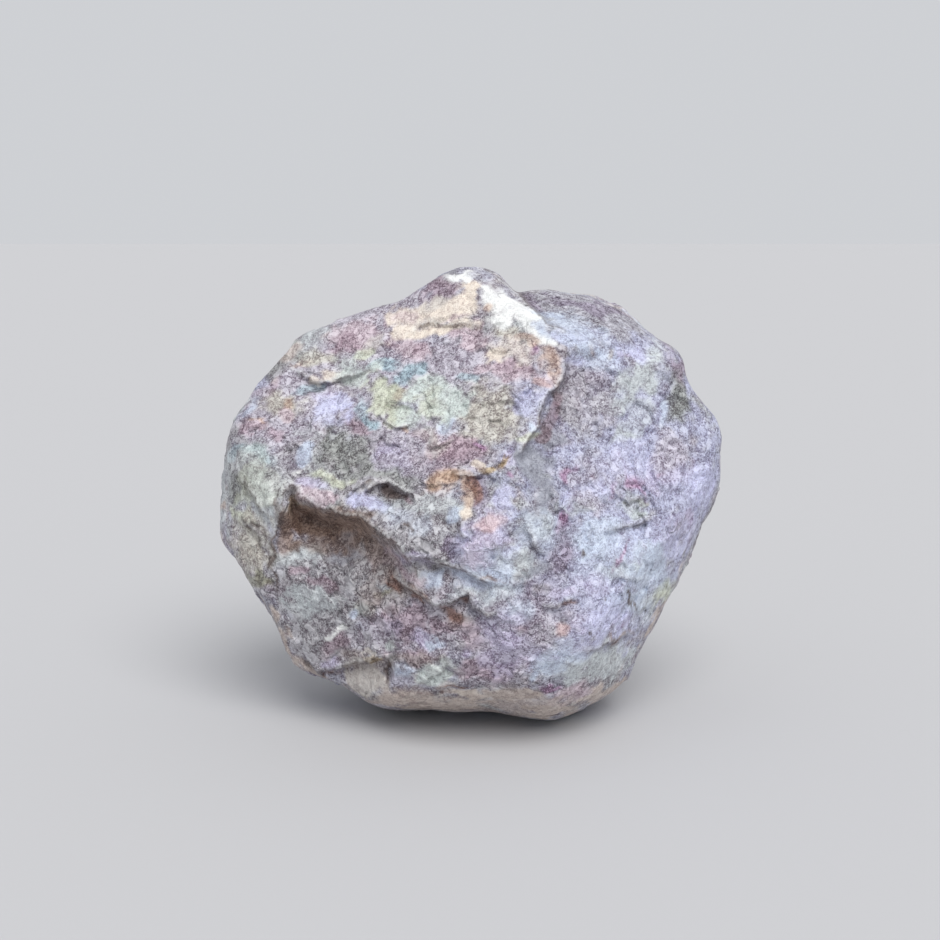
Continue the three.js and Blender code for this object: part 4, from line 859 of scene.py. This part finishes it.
def make_stone():
    """The stone with its paint in the mesh, and the function that places points with it."""
    directions, triangles = fine_directions()
    places, paint = form(directions)
    world = upright(places)
    world[:, 2] = np.maximum(world[:, 2], 0)
    place = fitted(world)
    mesh = bpy.data.meshes.new("rough_stone")
    mesh.from_pydata(place(world).tolist(), [], triangles)
    mesh.shade_smooth()
    paintwork = painted(places, paint)
    tint, grain = np.append(paintwork[:, :3], np.ones((len(places), 1)), 1), paintwork[:, 3]
    for name, kind, field, values in (
        ("tint", "FLOAT_COLOR", "color", tint.ravel()),
        ("grain", "FLOAT", "value", grain),
        ("chipped", "FLOAT", "value", grain * chipped_share(paint)),
    ):
        mesh.attributes.new(name, kind, "POINT").data.foreach_set(field, values)
    stone = bpy.data.objects.new("rough_stone", mesh)
    bpy.context.scene.collection.objects.link(stone)
    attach(stone, "root")
    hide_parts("stone")
    return stone, place


# Materials
PER_MM = 1000  # texture scale that gives features of about a millimetre
MM = 0.001

# The rock's layers, as features in a millimetre. Flakes are about four millimetres across, chips two,
# grit just under one and crystals a third of one.
FLAKES_PER_MM, FLAKE_SHARE = 0.24, 0.4
CHIPS_PER_MM, CHIP_SHARE = 0.5, 0.5
GRIT_PER_MM, GRIT_SHARE = 1.2, 0.6
CRYSTALS_PER_MM = 3.4
BEND_PER_MM, BEND_REACH = 0.5, 2.2  # makes the flakes ragged, reach in millimetres
MOTTLE = {"scale": 0.45 * PER_MM, "detail": 4, "roughness": 0.65}
CLUSTERS = {"scale": 1.3 * PER_MM, "detail": 3, "roughness": 0.7}
DUST = {"scale": 4.2 * PER_MM, "detail": 2, "roughness": 0.8}
COVER_EDGE = 0.01  # how much of the random tone lies between a bare and a covered cell
FLAKE_EDGE = (0, 0.1)  # distances from a cell's border, in cells, over which its flake begins
FLAKE_RIM = (0.14, 0.04)  # and over which its rim grows paler

# The two shades of the tint that the layers show
DARK_SHADE = (0.36, 0.3, 0.34, 1)
PALE_GAMMA, PALE_SATURATION = 0.48, 1.35

# How much of a shade a layer shows: over the first two numbers it goes from the third to the fourth
MOTTLE_DARK = (0.48, 0.62, 0, 0.5)
MOTTLE_PALE = (0.44, 0.32, 0, 0.4)
FLAKE_PALE = (0.2, 0.9, 0.05, 0.6)
FLAKE_LIT = (-0.6 * MM, 0.6 * MM, 0.25, 1)  # painted light: the raised side of a flake is paler, as if lit
GRIT_PALE = (0.35, 0.9, 0, 0.95)
GRIT_DARK = (0.35, 0.1, 0, 0.7)
CHIP_PALE = (0.3, 0.65, 0, 1)
CHIP_LIT = (-0.25 * MM, 0.25 * MM, 0.45, 1)  # painted light on a chip's raised side too
CHIP_DARK = (0.3, 0.1, 0, 0.8)
CLUSTERING = (0.35, 0.65, 0.35, -0.35)  # added to the crystals' tones, so that dark ones lie together
PEPPER_DARK = (0.34, 0.16, 0, 0.9)
PEPPER_PALE = (0.76, 0.95, 0, 0.7)
DUST_DARK = (0.54, 0.59, 0, 0.95)
DUST_PALE = (0.46, 0.4, 0, 0.65)
SPECKLE_ON_PALE = (0, 0.7, 1, 0.1)  # pale grit and chips carry less of the speckle
CHIPPED_DARK = 0.34  # how dark the ground between the chips is
FLAKE_RIM_PALE, CHIP_RIM_PALE = 0.4, 0.5

# Relief of the bump, lengths in metres; a slope is a share of the layer's own tilt
FLAKE_THICKNESS, FLAKE_SLOPE = 0.35 * MM, 0.25
CHIP_THICKNESS, CHIP_SLOPE = 0.28 * MM, 0.4
CRYSTAL_SLOPE = 0.5
DUST_RELIEF = 0.08 * MM
MOTTLE_RELIEF = 0.35 * MM
BUMP_STRENGTH = 0.8

CRYSTAL_ROUGHNESS = (0, 1, 0.82, 0.45)  # from the darkest crystal's tone to the palest's
STONE_IOR = 1.6

Flakes = namedtuple("Flakes", "cover rim tilt tone")
HALF = (0.5, 0.5, 0.5)  # the middle of a random colour, taken off to make it a direction


class Nodes:
    """Adds shader nodes by type and joins them."""

    def __init__(self, material):
        material.use_nodes = True
        self.tree = material.node_tree
        self.tree.nodes.clear()

    def add(self, kind, values=None, links=None, **settings):
        node = self.tree.nodes.new(kind)
        for name, value in settings.items():
            setattr(node, name, value)
        for name, value in (values or {}).items():
            node.inputs[name].default_value = value
        for name, source in (links or {}).items():
            self.tree.links.new(source, node.inputs[name])
        return node

    def joined(self, kind, sources, **settings):
        """A node whose inputs, by number, are set to a value or linked to a socket."""
        node = self.add(kind, **settings)
        for index, source in sources.items():
            if isinstance(source, bpy.types.NodeSocket):
                self.tree.links.new(source, node.inputs[index])
            else:
                node.inputs[index].default_value = source
        return node

    def noise(self, place, scale, detail, roughness):
        values = {"Scale": scale, "Detail": detail, "Roughness": roughness}
        return self.add("ShaderNodeTexNoise", values, {"Vector": place}).outputs["Fac"]

    def steps(self, factor, low, high, start=0, end=1):
        """The factor taken from the range low to high into start to end."""
        return self.joined("ShaderNodeMapRange", {0: factor, 1: low, 2: high, 3: start, 4: end}).outputs[0]

    def vector(self, operation, first, second):
        node = self.joined("ShaderNodeVectorMath", {0: first, 1: second}, operation=operation)
        return node.outputs["Value" if operation == "DOT_PRODUCT" else "Vector"]

    def maths(self, operation, first, second):
        return self.joined("ShaderNodeMath", {0: first, 1: second}, operation=operation).outputs[0]

    def product(self, *values):
        return reduce(lambda first, second: self.maths("MULTIPLY", first, second), values)

    def total(self, *values):
        return reduce(lambda first, second: self.maths("ADD", first, second), values)

    def mix(self, factor, first, second, blend="MIX"):
        sources = {0: factor, 6: first, 7: second}
        return self.joined("ShaderNodeMix", sources, data_type="RGBA", blend_type=blend).outputs[2]

    def tilt(self, place, cells, slope):
        """How far a place has risen on its cell, which slopes a way of its own, in metres."""
        slope = self.vector("SUBTRACT", slope, HALF)
        return self.vector("DOT_PRODUCT", slope, self.vector("SUBTRACT", place, cells.outputs["Position"]))

    def cells(self, place, scale, feature="F1"):
        return self.add("ShaderNodeTexVoronoi", {"Scale": scale}, {"Vector": place}, feature=feature)

    def crystals(self, place, scale):
        """Cells that each slope a way of their own: their height in metres and a random tone."""
        cells = self.cells(place, scale)
        tones = self.add("ShaderNodeSeparateColor", links={"Color": cells.outputs["Color"]})
        return self.tilt(place, cells, cells.outputs["Color"]), tones.outputs["Red"]

    def flakes(self, place, scale, share):
        """Flakes on a share of the cells: how much a place lies on one, its rim, how far it has risen
        along the flake's own tilt, and a random tone."""
        cells = self.cells(place, scale)
        border = self.cells(place, scale, "DISTANCE_TO_EDGE").outputs["Distance"]
        tones = self.add("ShaderNodeSeparateColor", links={"Color": cells.outputs["Color"]})
        covered = self.steps(tones.outputs["Red"], 1 - share, 1 - share + COVER_EDGE)
        cover = self.product(covered, self.steps(border, *FLAKE_EDGE))
        rim = self.product(covered, self.steps(border, *FLAKE_RIM))
        sources = {0: tones.outputs["Green"], 1: 0.5, 2: tones.outputs["Blue"]}
        slope = self.joined("ShaderNodeCombineXYZ", sources)
        return Flakes(cover, rim, self.tilt(place, cells, slope.outputs[0]), tones.outputs["Blue"])


def rock_layers(nodes):
    """The layers of the rock by name."""
    place = nodes.add("ShaderNodeTexCoord").outputs["Object"]
    bend = nodes.add("ShaderNodeTexNoise", {"Scale": BEND_PER_MM * PER_MM, "Detail": 1.0}, {"Vector": place})
    shift = nodes.vector("SUBTRACT", bend.outputs["Color"], HALF)
    bent = nodes.vector("ADD", place, nodes.vector("MULTIPLY", shift, (BEND_REACH * MM,) * 3))
    crystal_tilt, crystal_tone = nodes.crystals(place, CRYSTALS_PER_MM * PER_MM)
    return SimpleNamespace(
        flakes=nodes.flakes(bent, FLAKES_PER_MM * PER_MM, FLAKE_SHARE),
        chips=nodes.flakes(bent, CHIPS_PER_MM * PER_MM, CHIP_SHARE),
        grit=nodes.flakes(bent, GRIT_PER_MM * PER_MM, GRIT_SHARE),
        crystal_tilt=crystal_tilt,
        crystal_tone=crystal_tone,
        mottle=nodes.noise(place, **MOTTLE),
        clusters=nodes.noise(place, **CLUSTERS),
        dust=nodes.noise(place, **DUST),
    )


def rock_colour(nodes, rock, tint, grain, chipped):
    """The tint, with the dark and the pale shade of it laid over it layer by layer."""
    dark = nodes.mix(1.0, tint, DARK_SHADE, "MULTIPLY")
    pale = nodes.add("ShaderNodeGamma", {"Gamma": PALE_GAMMA}, {"Color": tint}).outputs["Color"]
    pale = nodes.add("ShaderNodeHueSaturation", {"Saturation": PALE_SATURATION}, {"Color": pale}).outputs[0]
    flakes, chips, grit = rock.flakes, rock.chips, rock.grit
    # Pale flakes and chips carry painted light: the side that each one's tilt raises is paler
    pale_lit_flakes = nodes.product(
        flakes.cover, nodes.steps(flakes.tone, *FLAKE_PALE), nodes.steps(flakes.tilt, *FLAKE_LIT))
    pale_lit_chips = nodes.product(
        chips.cover, nodes.steps(chips.tone, *CHIP_PALE), nodes.steps(chips.tilt, *CHIP_LIT))
    dark_chips = nodes.product(chips.cover, nodes.steps(chips.tone, *CHIP_DARK))
    pale_grit = nodes.product(grit.cover, nodes.steps(grit.tone, *GRIT_PALE))
    dark_grit = nodes.product(grit.cover, nodes.steps(grit.tone, *GRIT_DARK))
    paled = nodes.maths("MAXIMUM", nodes.product(pale_lit_chips, chipped), pale_grit)
    bare = nodes.product(grain, nodes.steps(paled, *SPECKLE_ON_PALE))
    pepper = nodes.total(rock.crystal_tone, nodes.steps(rock.clusters, *CLUSTERING))

    colour = nodes.mix(nodes.product(chipped, CHIPPED_DARK), tint, dark)
    for shade, amount, where in (
        (dark, nodes.steps(rock.mottle, *MOTTLE_DARK), grain),
        (pale, nodes.steps(rock.mottle, *MOTTLE_PALE), grain),
        (pale, pale_lit_flakes, grain),
        (pale, pale_grit, grain),
        (dark, dark_grit, grain),
        (pale, pale_lit_chips, chipped),
        (dark, dark_chips, chipped),
        (pale, nodes.product(flakes.rim, FLAKE_RIM_PALE), grain),
        (pale, nodes.product(chips.rim, CHIP_RIM_PALE), chipped),
        (dark, nodes.steps(pepper, *PEPPER_DARK), bare),
        (pale, nodes.steps(pepper, *PEPPER_PALE), grain),
        (dark, nodes.steps(rock.dust, *DUST_DARK), bare),
        (pale, nodes.steps(rock.dust, *DUST_PALE), bare),
    ):
        colour = nodes.mix(nodes.product(amount, where), colour, shade)
    return colour


def rock_relief(nodes, rock, chipped):
    """Height of the bump in metres."""
    return nodes.total(
        nodes.product(rock.flakes.cover, chipped, FLAKE_THICKNESS),
        nodes.product(rock.chips.cover, chipped, CHIP_THICKNESS),
        nodes.product(rock.chips.tilt, rock.chips.cover, CHIP_SLOPE),
        nodes.product(rock.flakes.tilt, rock.flakes.cover, FLAKE_SLOPE),
        nodes.product(rock.crystal_tilt, CRYSTAL_SLOPE),
        nodes.product(rock.dust, DUST_RELIEF),
        nodes.product(rock.mottle, MOTTLE_RELIEF),
    )


def stone_material():
    """Mottled rock, tinted by the paint that the mesh carries."""
    material = bpy.data.materials.new("mottled_stone")
    nodes = Nodes(material)
    tint = nodes.add("ShaderNodeAttribute", attribute_name="tint").outputs["Color"]
    grain = nodes.add("ShaderNodeAttribute", attribute_name="grain").outputs["Fac"]
    chipped = nodes.add("ShaderNodeAttribute", attribute_name="chipped").outputs["Fac"]
    rock = rock_layers(nodes)
    bump = nodes.add(
        "ShaderNodeBump",
        {"Strength": BUMP_STRENGTH, "Distance": 1.0, "Filter Width": 1.0},
        {"Height": rock_relief(nodes, rock, chipped)},
    )
    shader = nodes.add(
        "ShaderNodeBsdfPrincipled",
        {"Metallic": 0.0, "IOR": STONE_IOR, "Specular IOR Level": 0.5},
        {
            "Base Color": rock_colour(nodes, rock, tint, grain, chipped),
            "Roughness": nodes.steps(rock.crystal_tone, *CRYSTAL_ROUGHNESS),
            "Normal": bump.outputs[0],
        },
    )
    nodes.add("ShaderNodeOutputMaterial", links={"Surface": shader.outputs[0]})
    return material


# Floor, light and camera
FLOOR_COLOUR, FLOOR_ROUGHNESS = (0.52, 0.52, 0.53, 1), 0.8
FLOOR_REACH = 30  # the floor's half width, in widths of the stone
SKY_LIGHT, SKY_COLOUR = 0.66, (0.94, 0.96, 1.0, 1)
OVERHEAD_LIGHT, OVERHEAD_COLOUR = 2.3, (1, 0.99, 0.98)
OVERHEAD_SPREAD = 45  # degrees
OVERHEAD_PLACE = (0.25, -0.7, 1)  # above, in front and a little to the right
FIELD_OF_VIEW = 34  # degrees across the photograph
PHOTO_HALF = 470  # pixels from the photograph's middle to its side
FACE_BELOW_MIDDLE = 23.5  # pixels by which the face's middle lies below the photograph's
CLIP_START = 0.01  # metres


def floor_material():
    material = bpy.data.materials.new("pale_floor")
    nodes = Nodes(material)
    shader = nodes.add("ShaderNodeBsdfPrincipled", {"Base Color": FLOOR_COLOUR, "Roughness": FLOOR_ROUGHNESS})
    nodes.add("ShaderNodeOutputMaterial", links={"Surface": shader.outputs[0]})
    return material


def make_floor():
    half = FLOOR_REACH * (CAD_BOX[1][0] - CAD_BOX[0][0])
    level = CAD_BOX[0][2]
    corners = [(-half, -half, level), (half, -half, level), (half, half, level), (-half, half, level)]
    mesh = bpy.data.meshes.new("floor")
    mesh.from_pydata(corners, [], [(0, 1, 2, 3)])
    mesh.materials.append(floor_material())
    floor = bpy.data.objects.new("floor", mesh)
    bpy.context.scene.collection.objects.link(floor)


def make_lights():
    """A bright sky that is strongest overhead, a little in front and to the right."""
    world = bpy.data.worlds.new("soft_sky")
    world.use_nodes = True
    sky = world.node_tree.nodes["Background"]
    sky.inputs["Color"].default_value = SKY_COLOUR
    sky.inputs["Strength"].default_value = SKY_LIGHT
    bpy.context.scene.world = world
    light = bpy.data.lights.new("overhead", "SUN")
    light.energy = OVERHEAD_LIGHT
    light.angle = math.radians(OVERHEAD_SPREAD)
    light.color = OVERHEAD_COLOUR
    lamp = bpy.data.objects.new("overhead", light)
    lamp.location = OVERHEAD_PLACE
    lamp.rotation_euler = (-lamp.location).to_track_quat("-Z", "Y").to_euler()
    bpy.context.scene.collection.objects.link(lamp)


def make_camera(place):
    """The camera stands where the photograph was taken: the face's places are as seen from there."""
    half_view = math.radians(FIELD_OF_VIEW) / 2
    camera = bpy.data.cameras.new("camera")
    camera.sensor_fit = "HORIZONTAL"
    camera.lens = camera.sensor_width / 2 / math.tan(half_view)
    camera.clip_start = CLIP_START
    eye = bpy.data.objects.new("camera", camera)
    eye.location = place(upright(np.array([[0, 0, VIEW_DISTANCE]])))[0]
    pitch = LEAN - math.atan(FACE_BELOW_MIDDLE / PHOTO_HALF * math.tan(half_view))
    eye.rotation_euler = (math.pi / 2 - pitch, 0, 0)
    bpy.context.scene.collection.objects.link(eye)
    bpy.context.scene.camera = eye


stone, place = make_stone()
stone.data.materials.append(stone_material())
make_floor()
make_lights()
make_camera(place)
bpy.context.scene.view_settings.view_transform = "Standard"
